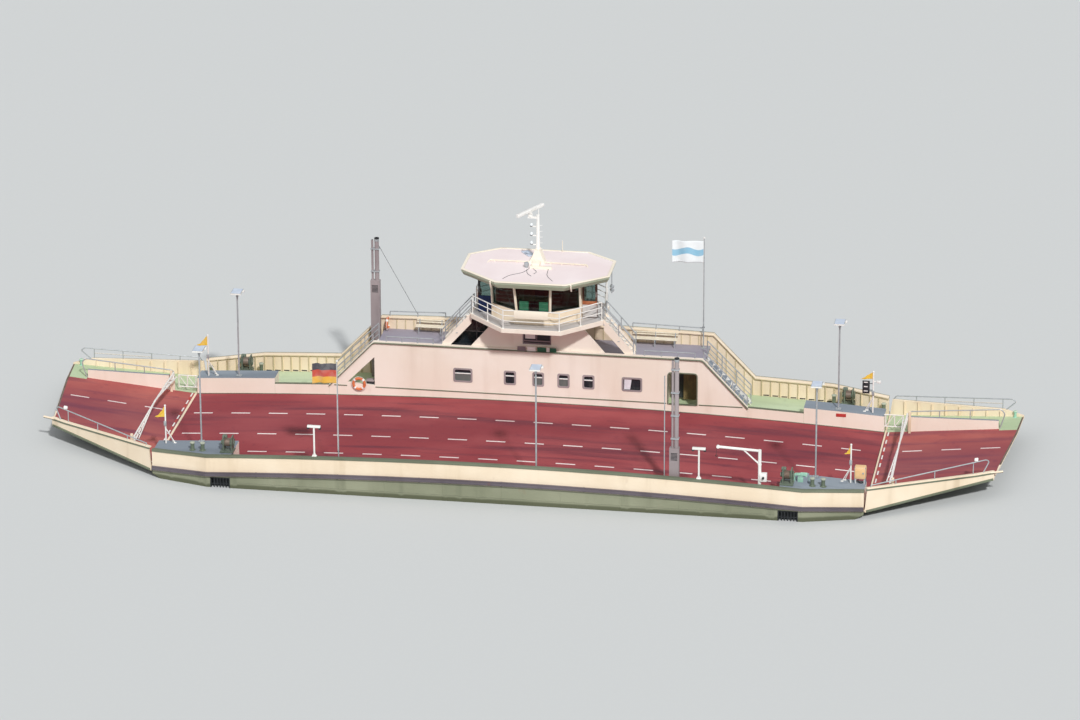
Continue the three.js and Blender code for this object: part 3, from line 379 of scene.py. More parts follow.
@dataclass(frozen=True)
class Cloth(Finish):
    """Woven flag cloth with bands of colour across its height, read from its UV map."""

    bands: tuple[str, ...]
    waves: str = ""

    def fill(self, graph: Graph) -> None:
        """Stack the bands from the foot up, add an optional wavy stripe and the weave.

        Args:
            graph: the material's node tree.
        """
        split = graph.add("SeparateXYZ", {0: graph.uv})
        along, up = split.outputs["X"], split.outputs["Y"]
        colour: object = linear(self.bands[0])
        for number, band in enumerate(self.bands[1:], 1):
            edge = number / len(self.bands)
            colour = graph.mix(graph.span(up, edge - 0.004, edge + 0.004), colour, band)
        if self.waves:
            swell = graph.times(graph.math("SINE", graph.times(along, 9.0)), 0.07)
            off = graph.math("ABSOLUTE", graph.math("SUBTRACT", graph.plus(up, swell), 0.5))
            colour = graph.mix(graph.span(off, 0.16, 0.13), colour, self.waves)
        fade = graph.span(graph.noise(6.0), 0.4, 0.7)
        colour = graph.mix(graph.times(fade, 0.12), colour, "d8d6cf")
        weave = [graph.math("SINE", graph.times(way, 900.0)) for way in (along, up)]
        height = graph.times(weave[0], weave[1])
        graph.set(Base_Color=colour, Roughness=0.85, Sheen_Weight=0.25,
                  Normal=graph.bump(height, 0.0004, 0.5))


class Look(Enum):
    """Every finish on the boat."""

    # Its underside colour is painted shade on the hull's downward faces.
    HULL = Paint("hull_olive_paint", "858870", "95977f", "5a5f4a", 0.55, 0.55, 0.3,
                 plating=0.006, slime_top=0.1, slime="44482f", underside="3c3f33")
    CREAM = Paint("cream_paint", "ecd8bc", "f5e4cb", "b3976a", 0.5, 0.25, 0.18)
    WALL = Paint("pinkish_wall_paint", "f0e2d2", "f6ebde", "b8967a", 0.5, 0.18, 0.1)
    # Its underside colour is the olive hull paint darkened: partly the ramp's own paint, partly
    # painted shade.
    RAMP_SIDE = Paint("ramp_side_paint", "ecd8bc", "f5e4cb", "a68b62", 0.52, 0.35, 0.25,
                      underside="4a4d3e")
    OLIVE_TRIM = Paint("olive_trim_paint", "666c58", "777e6a", "3f4234", 0.6, 0.4, 0.25)
    RUB_RAIL = Paint("rub_rail_paint", "5c545b", "6b636a", "393339", 0.7, 0.5, 0.3)
    WHITE = Paint("white_paint", "eceae4", "f6f4f0", "a39a89", 0.42, 0.25, 0.15, plating=0.0)
    ROOF = Paint("roof_paint", "f0e0df", "f6e9e8", "b9a9a3", 0.6, 0.2, 0.05)
    ROOF_EDGE = Paint("roof_edge_paint", "f3e8d4", "faf0df", "b1a488", 0.5, 0.25, 0.15)
    FASCIA = Paint("fascia_paint", "a0a992", "afb79f", "6e7561", 0.55, 0.3, 0.15)
    WINCH = Paint("winch_paint", "616c60", "76826f", "363b33", 0.5, 0.5, 0.4, plating=0.0)
    BOLLARD = Paint("bollard_paint", "5f6a59", "727d69", "3b4035", 0.5, 0.5, 0.4, plating=0.0)
    BOLLARD_CAP = Paint("bollard_cap_paint", "a9ae9c", "bcc0ae", "70735f", 0.5, 0.4, 0.3,
                        plating=0.0)
    # Darker than the cream bulwark the ribs stand on: painted shade for the thin shadow lines they
    # make.
    RIB = Paint("rib_paint", "cdbf9a", "d9ccaa", "8b8162", 0.55, 0.3, 0.2, plating=0.0)
    MINT = Paint("mint_paint", "97cbb2", "a9d6c0", "688472", 0.5, 0.3, 0.2, plating=0.0)
    BUFF = Paint("buff_paint", "e9bd87", "f0cb9b", "a9834f", 0.5, 0.35, 0.2, plating=0.0)
    MAUVE = Paint("mauve_panel_paint", "7d6f74", "8b7d82", "5d5054", 0.5, 0.3, 0.1, plating=0.0)
    EXHAUST = Paint("exhaust_paint", "968a8b", "a79c9c", "5e5456", 0.5, 0.4, 0.2, plating=0.0)
    GREEN_PANEL = Paint("green_panel_paint", "1f5f45", "2a6d52", "173c30", 0.4, 0.2, 0.0,
                        plating=0.0)
    RED_DECK = DeckPaint("red_deck_paint", "92393f", "a34b4e", "632436", tracks=0.8, band=0.2)
    RED_RAMP = DeckPaint("red_ramp_paint", "a5504e", "b8665d", "6a3048", tracks=0.7, band=0.45)
    GREEN_DECK = DeckPaint("green_walkway_paint", "b3c49e", "c3d2b0", "8f9c7b", tracks=0.3)
    GREY_DECK = DeckPaint("grey_deck_paint", "838c96", "929ba4", "626b75", tracks=0.35)
    UPPER_DECK = DeckPaint("upper_deck_paint", "96919e", "a5a0ab", "75707e", tracks=0.35)
    PALE_DECK = DeckPaint("gallery_deck_paint", "b9b5b4", "c8c4c2", "95908f", tracks=0.3)
    LANE_WHITE = DeckPaint("lane_mark_paint", "e2d2cf", "f1e6e3", "a98f89", tracks=0.4)
    STEEL = Metal("galvanised_steel", "c3c7c9", "a3a8ab", 0.45, 0.35)
    WORN_STEEL = Metal("worn_steel", "8f8379", "6d5546", 0.55, 0.4, 6.0)
    BRONZE = Metal("propeller_bronze", "a98446", "7c6238", 0.35, 0.9)
    DARK_WOOD = Plastic("dark_wood", "5a3a2c", "6a4736", 0.55, 0.001, 25.0)
    GLASS = Glass("window_glass", "66807a")
    # Also dresses the screen by the left stair, where it paints the shade under the gallery.
    CABIN_GLASS_AND_SHADE = Glass("cabin_glass_and_painted_shade", "2b3339", 0.3, 0.2)
    LOWER_PANE = Glass("lower_pane_glass", "747a76", 0.2, 0.3)
    RUBBER = Plastic("black_rubber", "232426", "353638", 0.75, 0.001)
    # Dark parts, and painted shade in the wells, the scupper slots and the space behind the
    # doorway.
    DARK = Plastic("dark_plastic_and_painted_shade", "24272a", "33373a", 0.5)
    ORANGE = Plastic("orange_plastic", "dd7d4e", "d26c40", 0.45)
    MAROON = Plastic("maroon_plastic", "6f1c30", "7d2a3d", 0.5)
    RED = Plastic("red_enamel", "c0413c", "ac3833", 0.45)
    PLAIN_WHITE = Plastic("white_plastic", "f1efeb", "e2e0da", 0.4)
    SCREEN = Plastic("green_screen", "7fd0a8", "6cc398", 0.25, glow=0.9)
    BLUE = Plastic("blue_canvas", "1c2f5c", "28407a", 0.8, 0.0015)
    WOOD = Plastic("oiled_wood", "a65f3c", "b5704b", 0.55, 0.001, 25.0)
    PALE_WOOD = Plastic("pale_bench_wood", "e3d8c2", "efe6d4", 0.6, 0.001, 25.0)
    LAMP = Plastic("lamp_lens", "e8edf0", "dfe5e8", 0.15, glow=0.1)
    SKY_PANEL = Plastic("sky_panel", "c4cfdf", "d4dde9", 0.35)
    BLIND = Plastic("window_blind", "e9e6ea", "dcd8dd", 0.6)
    # The cream, ribbed inner wall as it looks in shade: painted shade.
    SHADED_WALL = Plastic("shaded_inner_wall", "6d5b3a", "7d6a45", 0.6)
    TRICOLOUR = Cloth("tricolour_cloth", ("dfa93f", "c04c3c", "48454c"))
    PALE_FLAG = Cloth("pale_flag_cloth", ("eef3f4",), "8fc3dd")
    YELLOW_CLOTH = Cloth("yellow_pennant_cloth", ("e9bd3a",))


SLOTS = {finish: slot for slot, finishes in {
    "hull_paint": (Look.HULL, Look.OLIVE_TRIM),
    "rub_rail_paint": (Look.RUB_RAIL,),
    "deck_paint": (Look.LANE_WHITE, Look.RED_RAMP),
    "walkway_paint": (Look.GREEN_DECK,),
    "cream_paint": (Look.WALL, Look.CREAM, Look.RIB, Look.ROOF_EDGE, Look.WOOD, Look.BLUE),
    "galvanised_steel": (Look.STEEL, Look.WORN_STEEL),
    "winch_paint": (Look.WINCH, Look.BOLLARD, Look.MINT),
    "roof_paint": (Look.ROOF,),
    "grey_deck_paint": (Look.PALE_DECK, Look.EXHAUST, Look.RUBBER, Look.DARK),
    "window_glass": (Look.MAUVE,),
}.items() for finish in finishes}


# Shapes: each is a function of two parameters on a grid, or an outline carried along a path

@dataclass
class Shell:
    """A closed shape: corners, four-sided faces as rows of corner numbers, and other faces."""

    points: Array
    quads: Array
    others: list[list[int]]

    def volume(self) -> float:
        """Return the signed volume, from a fan of triangles over each face."""
        p = self.points
        q = self.quads
        total = float(np.einsum("ij,ij->", p[q[:, 0]], np.cross(p[q[:, 1]], p[q[:, 2]])))
        total += float(np.einsum("ij,ij->", p[q[:, 0]], np.cross(p[q[:, 2]], p[q[:, 3]])))
        for face in self.others:
            fan = p[face]
            total += float(np.sum(np.cross(fan[1:-1], fan[2:]) @ fan[0]))
        return total / 6

    def outward(self) -> Shell:
        """Return the shape with its faces pointing out, which the sign of its volume tells."""
        if self.volume() >= 0:
            return self
        return Shell(self.points, self.quads[:, ::-1], [face[::-1] for face in self.others])

    def moved(self, x: float = 0, y: float = 0, z: float = 0) -> Shell:
        """Return the shape shifted."""
        return Shell(self.points + (x, y, z), self.quads, self.others)

    def turned(self, degrees: float, axis: str = "Z", about: Point = (0, 0, 0)) -> Shell:
        """Return the shape turned by the right-hand rule about an axis through a point."""
        turn = np.array(Matrix.Rotation(math.radians(degrees), 3, axis))
        return Shell((self.points - about) @ turn.T + about, self.quads, self.others)

    def mirrored(self) -> Shell:
        """Return the shape at the other end of the boat."""
        flipped = Shell(self.points * (-1, 1, 1), self.quads, self.others)
        return flipped.outward()


def skin(rings: Array, joined: bool = False) -> Shell:
    """Cover a grid of rings.

    Args:
        rings: points[i, j] is point j of ring i, and each ring is closed.
        joined: the last ring meets the first one, as in a hoop.

    Returns:
        The closed shape, capped by flat faces at its ends unless it is joined.
    """
    rows, count, _ = rings.shape
    i, j = np.meshgrid(np.arange(rows if joined else rows - 1), np.arange(count), indexing="ij")
    after, beside = (i + 1) % rows, (j + 1) % count
    quads = np.stack([i * count + j, i * count + beside, after * count + beside,
                      after * count + j], -1).reshape(-1, 4)
    last = (rows - 1) * count
    caps = [] if joined else [list(range(count))[::-1], list(range(last, last + count))]
    return Shell(rings.reshape(-1, 3), quads, caps).outward()


def prism(outline: Array | list, low: float, high: float, across: str = "Z") -> Shell:
    """Give a flat outline a depth.

    Args:
        outline: points [x, y], [x, z] or [y, z], for `across` Z, Y or X.
        low: one end of the depth.
        high: its other end.
        across: the axis that the depth runs along.

    Returns:
        The outline repeated at both ends, with a face between each pair of neighbours.
    """
    flat = np.asarray(outline, float)
    place = {"X": 0, "Y": 1, "Z": 2}[across]
    rings = np.stack([np.insert(flat, place, level, axis=1) for level in (low, high)])
    return skin(rings)


def corners(half_x: float, half_y: float, radius: float, steps: int) -> Array:
    """Return a rectangle's outline round the origin, its corners rounded by quarter circles.

    Args:
        half_x: half its width.
        half_y: half its height.
        radius: radius of the corners.
        steps: how many chords make a quarter circle.

    Returns:
        The outline's points.
    """
    angle = np.linspace(0, math.pi / 2, steps + 1)
    arc = np.stack([np.cos(angle), np.sin(angle)], -1) * radius
    middle = np.array([half_x - radius, half_y - radius])
    quarters = []
    for turn in range(4):
        c, s = math.cos(turn * math.pi / 2), math.sin(turn * math.pi / 2)
        spin = np.array([[c, s], [-s, c]])
        signs = np.sign(np.array([1, 1]) @ spin)
        quarters.append(arc @ spin + middle * signs)
    return np.concatenate(quarters)


def block(low: Point, high: Point, radius: float = 0.004, steps: int = 1) -> Shell:
    """Return a box with rounded edges.

    The box is a stack of rounded rectangles: near the bottom and the top each is inset as the
    quarter circle of the edge asks.

    Args:
        low: one corner.
        high: the corner across from it.
        radius: radius of the edges, less where the box is thin.
        steps: how many chords make a quarter circle.

    Returns:
        The box.
    """
    low_, high_ = np.minimum(low, high), np.maximum(low, high)
    half = (high_ - low_) / 2
    radius = min(radius, half.min() * 0.45)
    angle = np.linspace(0, math.pi / 2, steps + 1)
    insets = radius * (1 - np.sin(angle))
    lifts = radius * (1 - np.cos(angle))
    levels = np.concatenate([-half[2] + lifts, half[2] - lifts[::-1]])
    shrinks = np.concatenate([insets, insets[::-1]])
    rings = []
    for level, shrink in zip(levels, shrinks):
        flat = corners(half[0] - shrink, half[1] - shrink, max(radius - shrink, radius * 0.3),
                       steps)
        rings.append(np.column_stack([flat, np.full(len(flat), level)]))
    return skin(np.stack(rings) + (low_ + high_) / 2)


def rounded(path: list | Array, radius: float, steps: int = 3) -> Array:
    """Return a path whose inner corners are replaced by curves.

    Args:
        path: points [x, y, z].
        radius: how far from a corner its curve starts, less where a side is short.
        steps: how many chords make a curve.

    Returns:
        The path; each corner is now points of the parabola that leaves one side and joins the
        next.
    """
    line = np.asarray(path, float)
    result = [line[:1]]
    share = np.linspace(0, 1, steps + 1)[:, None]
    for before, corner, after in zip(line[:-2], line[1:-1], line[2:]):
        reach = [min(radius, np.linalg.norm(end - corner) * 0.45) for end in (before, after)]
        a = corner + (before - corner) / np.linalg.norm(before - corner) * reach[0]
        b = corner + (after - corner) / np.linalg.norm(after - corner) * reach[1]
        result.append((1 - share) ** 2 * a + 2 * share * (1 - share) * corner + share ** 2 * b)
    result.append(line[-1:])
    return np.concatenate(result)


def carried(section: Array, path: list | Array, joined: bool = False) -> Shell:
    """Carry a section along a path.

    Args:
        section: points [n, b] in the plane across the path, or one such list for each point.
        path: points [x, y, z].
        joined: the path closes on itself.

    Returns:
        The skin over the section's copies. Each stands across the mean of its neighbours'
        directions, widened there as a mitre is, on axes taken from the path's own plane.
    """
    line = np.asarray(path, float)
    steps = np.diff(np.vstack([line, line[:1]]) if joined else line, axis=0)
    ways = steps / np.linalg.norm(steps, axis=1)[:, None]
    before = np.roll(ways, 1, axis=0) if joined else np.vstack([ways[:1], ways])
    after = ways if joined else np.vstack([ways, ways[-1:]])
    mean = before + after
    tangent = mean / np.linalg.norm(mean, axis=1)[:, None]
    plane = np.linalg.svd(ways)[2][-1]
    if abs(plane[2]) < 0.5 and np.abs(ways[:, 2]).max() < 0.5:
        plane = np.array([0.0, 0.0, 1.0])
    side = np.cross(plane, tangent)
    side /= np.linalg.norm(side, axis=1)[:, None]
    widen = 1 / np.clip(np.einsum("ij,ij->i", tangent, after), 0.35, 1)
    other = np.cross(tangent, side)
    cut = np.broadcast_to(section, (len(line), *np.shape(section)[-2:]))
    rings = (line[:, None] + cut[:, :, :1] * (side * widen[:, None])[:, None]
             + cut[:, :, 1:] * other[:, None])
    return skin(rings, joined)


def symmetric(half: tuple, inset: float = 0.0) -> list[list[float]]:
    """Return an outline from its right-hand corners [x, y], drawn in by `inset`."""
    drawn = [[x - inset, y + (inset if y < HOUSE_Y else -inset) * 0.9] for x, y in half]
    return drawn + [[-x, y] for x, y in drawn[::-1]]


def strip(xs: Array, y: float, low: Array, high: Array) -> Shell:
    """Return a thin upright face along X at `y`, from the heights `low` to `high`.

    Args:
        xs: where along the boat its height is given.
        y: where across the boat.
        low: where it starts.
        high: where it ends.

    Returns:
        The face, twice FACE thick.
    """
    edges = ((-FACE, low), (FACE, low), (FACE, high), (-FACE, high))
    return skin(np.stack([np.stack([xs, np.full_like(xs, y + side), z], -1) for side, z in edges],
                         1))


def circle(radius: float, sides: int) -> Array:
    """Return a circle's outline round the origin."""
    angle = np.arange(sides) * 2 * math.pi / sides
    return np.stack([np.cos(angle), np.sin(angle)], -1) * radius


def tube(path: list | Array, radius: float, sides: int = 10, bend: float = 0.0) -> Shell:
    """Return a round bar along a path, with its corners bent to the radius `bend`."""
    line = rounded(path, bend) if bend else path
    return carried(circle(radius, sides), line)


def rod(x: float, y: float, low: float, high: float, radius: float, sides: int) -> Shell:
    """Return a straight upright bar at x and y."""
    return tube([[x, y, low], [x, y, high]], radius, sides)


def lathe(profile: list, at: Point, sides: int = 16, axis: str = "Z") -> Shell:
    """Turn a profile round an axis.

    Args:
        profile: [radius, height] pairs, with radii above 0.
        at: the point that heights are counted from.
        sides: how many sides the round has.
        axis: the axis's direction.

    Returns:
        The turned shape.
    """
    shape = np.asarray(profile, float)
    ring = circle(1.0, sides)
    rings = np.concatenate([shape[:, None, :1] * ring[None], np.broadcast_to(
        shape[:, None, 1:], (len(shape), sides, 1))], axis=-1)
    return skin(rings[:, :, AXES[axis]] + np.asarray(at, float))


def hoop(at: Point, radius: float, thickness: float, axis: str = "Y", sides: int = 24) -> Shell:
    """Return a ring of round section.

    Args:
        at: its centre.
        radius: from its centre to the middle of the section.
        thickness: radius of the section.
        axis: the direction it faces.
        sides: how many sides the ring has.

    Returns:
        The ring.
    """
    angle = np.arange(sides) * 2 * math.pi / sides
    reach = radius + circle(thickness, 8)[:, 0]
    depth = circle(thickness, 8)[:, 1]
    rings = np.stack([np.outer(np.cos(angle), reach), np.outer(np.sin(angle), reach),
                      np.broadcast_to(depth, (sides, 8))], -1)
    return skin(rings[:, :, AXES[axis]] + np.asarray(at, float), joined=True)


def stand(name: str, data: bpy.types.ID) -> bpy.types.Object:
    """Return a new object of the scene that shows a mesh, lamp or camera.

    Args:
        name: its name.
        data: what it shows.

    Returns:
        The object.
    """
    made = bpy.data.objects.new(name, data)
    bpy.context.scene.collection.objects.link(made)
    return made


class Piece:
    """One visible piece: closed shapes with their finishes, on a body of the frame."""

    def __init__(self, name: str, finish: Look, body: str = "boat", slot: str = "",
                 end: str = "right") -> None:
        """Start a piece.

        Args:
            name: the name of its object.
            finish: what its shapes have unless they say otherwise.
            body: the body it rides on.
            slot: its colour slot, if that isn't its finish's own; it is not used.
            end: its end of the boat; shapes added for the right-hand end are mirrored for "left".
        """
        self.name = name
        self.body = body
        self.slot = slot or SLOTS.get(finish, "white_paint")
        self.end = end
        self.finishes = [finish]
        self.shells: list[tuple[Shell, int]] = []

    def add(self, *shells: Shell, finish: Look | None = None) -> Piece:
        """Add shapes.

        Args:
            shells: the shapes.
            finish: their finish, if it isn't the piece's own.

        Returns:
            The piece itself.
        """
        used = finish or self.finishes[0]
        if used not in self.finishes:
            self.finishes.append(used)
        placed = [shell.mirrored() for shell in shells] if self.end == "left" else shells
        self.shells += [(shell, self.finishes.index(used)) for shell in placed]
        return self

    def pair(self, *shells: Shell, finish: Look | None = None) -> Piece:
        """Add shapes and their mirror images at the other end."""
        return self.add(*shells, *[shell.mirrored() for shell in shells], finish=finish)

    def make(self, replaces: tuple[str, ...] = (), crease: float = 35.0) -> None:
        """Make the mesh and its object, riding on its body.

        Args:
            replaces: nodes of the frame that the piece stands for.
            crease: faces that meet at less than this angle, in degrees, are shaded as one.
        """
        points, faces, numbers, start = [], [], [], 0
        for shell, number in self.shells:
            points.append(shell.points)
            found = (shell.quads + start).tolist()
            found += [[start + corner for corner in face] for face in shell.others]
            faces += found
            numbers += [number] * len(found)
            start += len(shell.points)
        mesh = bpy.data.meshes.new(self.name)
        mesh.from_pydata(np.concatenate(points).tolist(), [], faces)
        mesh.polygons.foreach_set("material_index", numbers)
        mesh.shade_smooth()
        mesh.set_sharp_from_angle(angle=math.radians(crease))
        for finish in self.finishes:
            mesh.materials.append(finish.value.material())
        piece = stand(self.name, mesh)
        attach(piece, self.body)
        if replaces:
            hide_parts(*replaces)
        LOG.info("%s: %d faces on %s", self.name, len(faces), self.body)


def dress(frame: dict, finish: Look, *nodes: str) -> None:
    """Give nodes of the frame a finish.

    Args:
        frame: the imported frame, whose nodes are dressed.
        finish: the finish.
        nodes: the nodes' names.
    """
    for node in nodes:
        for place in frame["nodes"][node].material_slots:
            place.material = finish.value.material()
        LOG.info("%s: %s", node, finish.value.name)


ENDS = {"left": -1, "right": 1}


# The boat's lines

@dataclass(frozen=True)
class Lines:
    """Heights and widths along the boat, straight between the same stations as its plating."""

    hinge_x: float = 9.1
    knuckle_x: float = 7.6
    half_beam: float = 3.675
    end_half_beam: float = 3.255
    hog_drop: float = 0.29
    stations: tuple[float, ...] = (0, 1.5, 3.0, 4.425, 5.54, 6.7, 7.9, 9.1)
    deck_z: float = 0.54
    cap_z: float = 1.05
    coaming_z: float = 0.725
    platform_rise: float = 0.45
    stair_top_x: float = 4.425
    stair_foot_x: float = 5.54
    wall_y: float = 1.975
    plate: float = 0.06
    upper_z: float = 1.75
    house_top_z: float = 2.01
    house_half: float = 4.34
    far_top_z: float = 2.165
    box_y: float = 2.5

    def both(self) -> Array:
        """Return the stations of both halves in order, with the knuckles."""
        half = np.array(sorted({*self.stations, self.knuckle_x}))
        return np.concatenate([-half[:0:-1], half])

    def hog(self, x: Array | float) -> Array:
        """Return how far the deck has dropped from its height amidships."""
        at = np.array(self.stations)
        return np.interp(np.abs(x), at, self.hog_drop * (at / self.hinge_x) ** 2)

    def deck(self, x: Array | float) -> Array:
        """Return the top of the car deck."""
        return self.deck_z - self.hog(x)

    def cap(self, x: Array | float) -> Array:
        """Return the top of the near bulwark's cap."""
        return self.cap_z - self.hog(x)

    def coaming(self, x: Array | float) -> Array:
        """Return the top of the coamings beyond the deckhouse."""
        return self.coaming_z - np.maximum(0, self.hog(x) - self.hog(self.stair_foot_x))

    def platform(self, x: Array | float) -> Array:
        """Return the top of the mooring platforms."""
        return self.deck(x) + self.platform_rise

    def side(self, x: Array | float) -> Array:
        """Return half the hull's width at deck level."""
        return np.interp(np.abs(x), [self.knuckle_x, self.hinge_x],
                         [self.half_beam, self.end_half_beam])

    def far_top(self, x: Array | float) -> Array:
        """Return the top of the far bulwark: raised amidships, then down along the stairs.

        Args:
            x: where along the boat, in metres.

        Returns:
            The height, for each x.
        """
        size = np.abs(np.asarray(x, float))
        raised = self.far_top_z - self.hog(np.minimum(size, self.stair_top_x))
        share = np.clip((size - self.stair_top_x) / (self.stair_foot_x - self.stair_top_x), 0, 1)
        slope = raised + (self.cap(self.stair_foot_x) - raised) * share
        return np.where(size < self.stair_foot_x, slope, self.cap(size))


LINES = Lines()


@dataclass(frozen=True)
class Railing:
    """Handrails on posts, sheathing the frame's own bars."""

    height: float = 0.5
    bars: int = 3
    spacing: float = 1.0
    rail_radius: float = 0.0155
    bar_radius: float = 0.0112
    post_radius: float = 0.0128
    foot_radius: float = 0.034
    foot_height: float = 0.008

    def along(self, path: list[Point]) -> list[Shell]:
        """Stand a railing on a line.

        Args:
            path: points [x, y, z] at the posts' feet.

        Returns:
            The rails and posts; a post stands at each end and corner, and between them.
        """
        line = np.asarray(path, float)
        shells = []
        for number in range(self.bars):
            lift = self.height * (1 - number / (self.bars + 0.4))
            radius = self.rail_radius if number == 0 else self.bar_radius
            shells.append(tube(line + (0, 0, lift), radius, 10))
        for number, (a, b) in enumerate(zip(line[:-1], line[1:])):
            count = max(1, round(float(np.linalg.norm(b - a)) / self.spacing))
            for step in range(0 if number == 0 else 1, count + 1):
                shells += self.post(a + (b - a) * step / count)
        return shells

    def post(self, foot: Array) -> list[Shell]:
        """Return a post with the flange at its foot.

        Args:
            foot: the point that it stands on.

        Returns:
            The post and its flange.
        """
        x, y, z = foot
        flange = [[self.foot_radius, -0.003], [self.foot_radius, self.foot_height],
                  [self.post_radius * 1.4, self.foot_height + 0.004]]
        return [rod(x, y, z - 0.004, z + self.height, self.post_radius, 8),
                lathe(flange, (x, y, z), 10)]


# Sub-assemblies

@dataclass
class Hull:
    """Hull, rub rails, thrusters and propellers."""

    seam_pitch: float = 1.5
    seam_radius: float = 0.006
    rub_z: float = 0.56
    joint_pitch: float = 2.1

    def build(self, frame: dict) -> None:
        """Dress the hull and add its weld seams and the rub rails' joints.

        Args:
            frame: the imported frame, whose nodes are dressed.
        """
        dress(frame, Look.HULL, "hull", "thruster_left", "thruster_right")
        dress(frame, Look.RUB_RAIL, "rub_rail_near", "rub_rail_far")
        dress(frame, Look.BRONZE, "propeller_left", "propeller_right")
        self.seams()
        self.rail_joints()
        self.wells()

    def seams(self) -> None:
        """Run an upright weld down each side at every frame, and one line along the side."""
        piece = Piece("hull_weld_seams", Look.HULL)
        for side in (-1, 1):
            for x in np.arange(-6.0, 6.01, self.seam_pitch):
                y = side * (LINES.half_beam + 0.001)
                top = LINES.deck(x) - 0.065
                piece.add(rod(x, y, -0.32, top, self.seam_radius, 6))
            line = [[x, side * (LINES.half_beam + 0.001), 0.16] for x in (-6.9, 6.9)]
            piece.add(tube(line, self.seam_radius, 6))
        piece.make()

    def wells(self) -> None:
        """Line the barred wells with dark plate as painted shade inside them, sheathe their bars
        and frame their mouths.
        """
        piece = Piece("well_grilles", Look.DARK, slot="hull_paint")
        y = LINES.half_beam
        # The dark back, sides, top and bottom of each well paint the shade inside it.
        shells = [block((7.012, y - 0.158, -0.118), (7.478, y - 0.15, 0.26), 0.002)]
        for x in (7.012, 7.47):
            shells.append(block((x, y - 0.15, -0.118), (x + 0.008, y - 0.004, 0.26), 0.002))
        for z in (-0.118, 0.252):
            shells.append(block((7.02, y - 0.15, z), (7.47, y - 0.004, z + 0.008), 0.002))
        for number in range(1, 6):
            x = 7.01 + number * 0.47 / 6
            shells.append(rod(x, y - 0.03, -0.11, 0.252, 0.0152, 8))
        shells.append(block((7.02, y - 0.05, 0.085), (7.47, y - 0.02, 0.105), 0.002))
        for x0, x1, z0, z1 in ((6.99, 7.5, 0.258, 0.276), (6.99, 7.012, -0.12, 0.258),
                               (7.478, 7.5, -0.12, 0.258), (6.99, 7.5, -0.14, -0.105)):
            shells.append(block((x0, y + 0.0005, z0), (x1, y + 0.008, z1), 0.002))
        for side in (-1, 1):
            for shell in shells:
                turned = shell if side > 0 else Shell(shell.points * (1, -1, 1), shell.quads,
                                                      shell.others).outward()
                piece.add(turned, turned.mirrored())
        piece.make()

    def rail_joints(self) -> None:
        """Put a welded collar round the rub rails where two lengths meet."""
        piece = Piece("rub_rail_joints", Look.RUB_RAIL)
        for side in (-1, 1):
            for x in np.arange(-6.3, 6.31, self.joint_pitch):
                z = self.rub_z - LINES.hog(x)
                y = side * LINES.half_beam
                piece.add(block((x - 0.02, y + side * 0.001, z - 0.056),
                                (x + 0.02, y + side * 0.066, z + 0.056), 0.003))
                piece.add(block((x - 0.012, y + side * 0.06, z - 0.033),
                                (x + 0.012, y + side * 0.097, z + 0.033), 0.003))
        piece.make()


@dataclass
class CarDeck:
    """Car deck with its lane marks, and the side deck behind its coaming."""

    lane_lines: tuple[float, ...] = (0.575, -0.86, -2.08)
    dash: float = 0.5
    pitch: float = 1.0
    width: float = 0.055
    first: float = -8.62
    last: float = 8.9
    film: float = 0.003

    def build(self, frame: dict) -> None:
        """Dress the decks and add their marks and edges.

        Args:
            frame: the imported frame, whose nodes are dressed.
        """
        dress(frame, Look.RED_DECK, "car_deck")
        dress(frame, Look.GREEN_DECK, "side_deck")
        self.marks()
        self.coaming()

    def marks(self) -> None:
        """Paint the broken lane lines, each dash a thin film that follows the deck's slope."""
        piece = Piece("lane_marks", Look.LANE_WHITE)
        count = int((self.last - self.first) / self.pitch) + 1
        for y in self.lane_lines:
            for number in range(count):
                x = self.first + number * self.pitch
                if abs(x) + self.dash / 2 < self.last:
                    piece.add(self.mark(x, y))
        piece.make()

    def mark(self, x: float, y: float) -> Shell:
        """Return one dash centred on x and y.

        Args:
            x: where along the boat, in metres.
            y: where across the boat.

        Returns:
            The dash.
        """
        xs = np.array([x - self.dash / 2, x + self.dash / 2])
        low = LINES.deck(xs) + 0.0004
        edges = [y - self.width / 2, y + self.width / 2]
        rings = np.array([[[u, edges[0], z], [u, edges[1], z], [u, edges[1], z + self.film],
                           [u, edges[0], z + self.film]] for u, z in zip(xs, low)])
        return skin(rings)

    def coaming(self) -> None:
        """Cover both faces of the coamings, run an olive bar along their tops and the wall, and lay
        a thin one at the wall's foot as painted shade.
        """
        wall = Piece("coaming_faces", Look.WALL)
        bar = Piece("coaming_edge_bar", Look.OLIVE_TRIM)
        xs = np.array([5.545, 6.7, 6.995])
        for y in (LINES.wall_y, LINES.wall_y + LINES.plate):
            wall.pair(strip(xs, y, LINES.deck(xs) + 0.003, LINES.coaming(xs) - 0.012))
        wall.make()
        path = np.stack([xs, np.full_like(xs, LINES.wall_y + 0.03), LINES.coaming(xs)], -1)
        bar.pair(carried(corners(0.034, 0.014, 0.006, 2), path))
        for x0, x1 in ((-4.3, 3.4), (4.25, 5.4), (-5.4, -5.06)):
            line = [[x, LINES.wall_y - 0.005, LINES.coaming_z - 0.005] for x in (x0, x1)]
            bar.add(carried(corners(0.009, 0.013, 0.004, 1), line))
        # The thin olive bar along the wall's foot paints the shade line where the wall meets the
        # deck.
        foot = [[[x, LINES.wall_y - 0.008, LINES.deck(x) + 0.008] for x in pair]
                for pair in zip(LINES.both()[:-1], LINES.both()[1:])]
        bar.add(*[carried(circle(0.01, 6), pair) for pair in foot]).make()


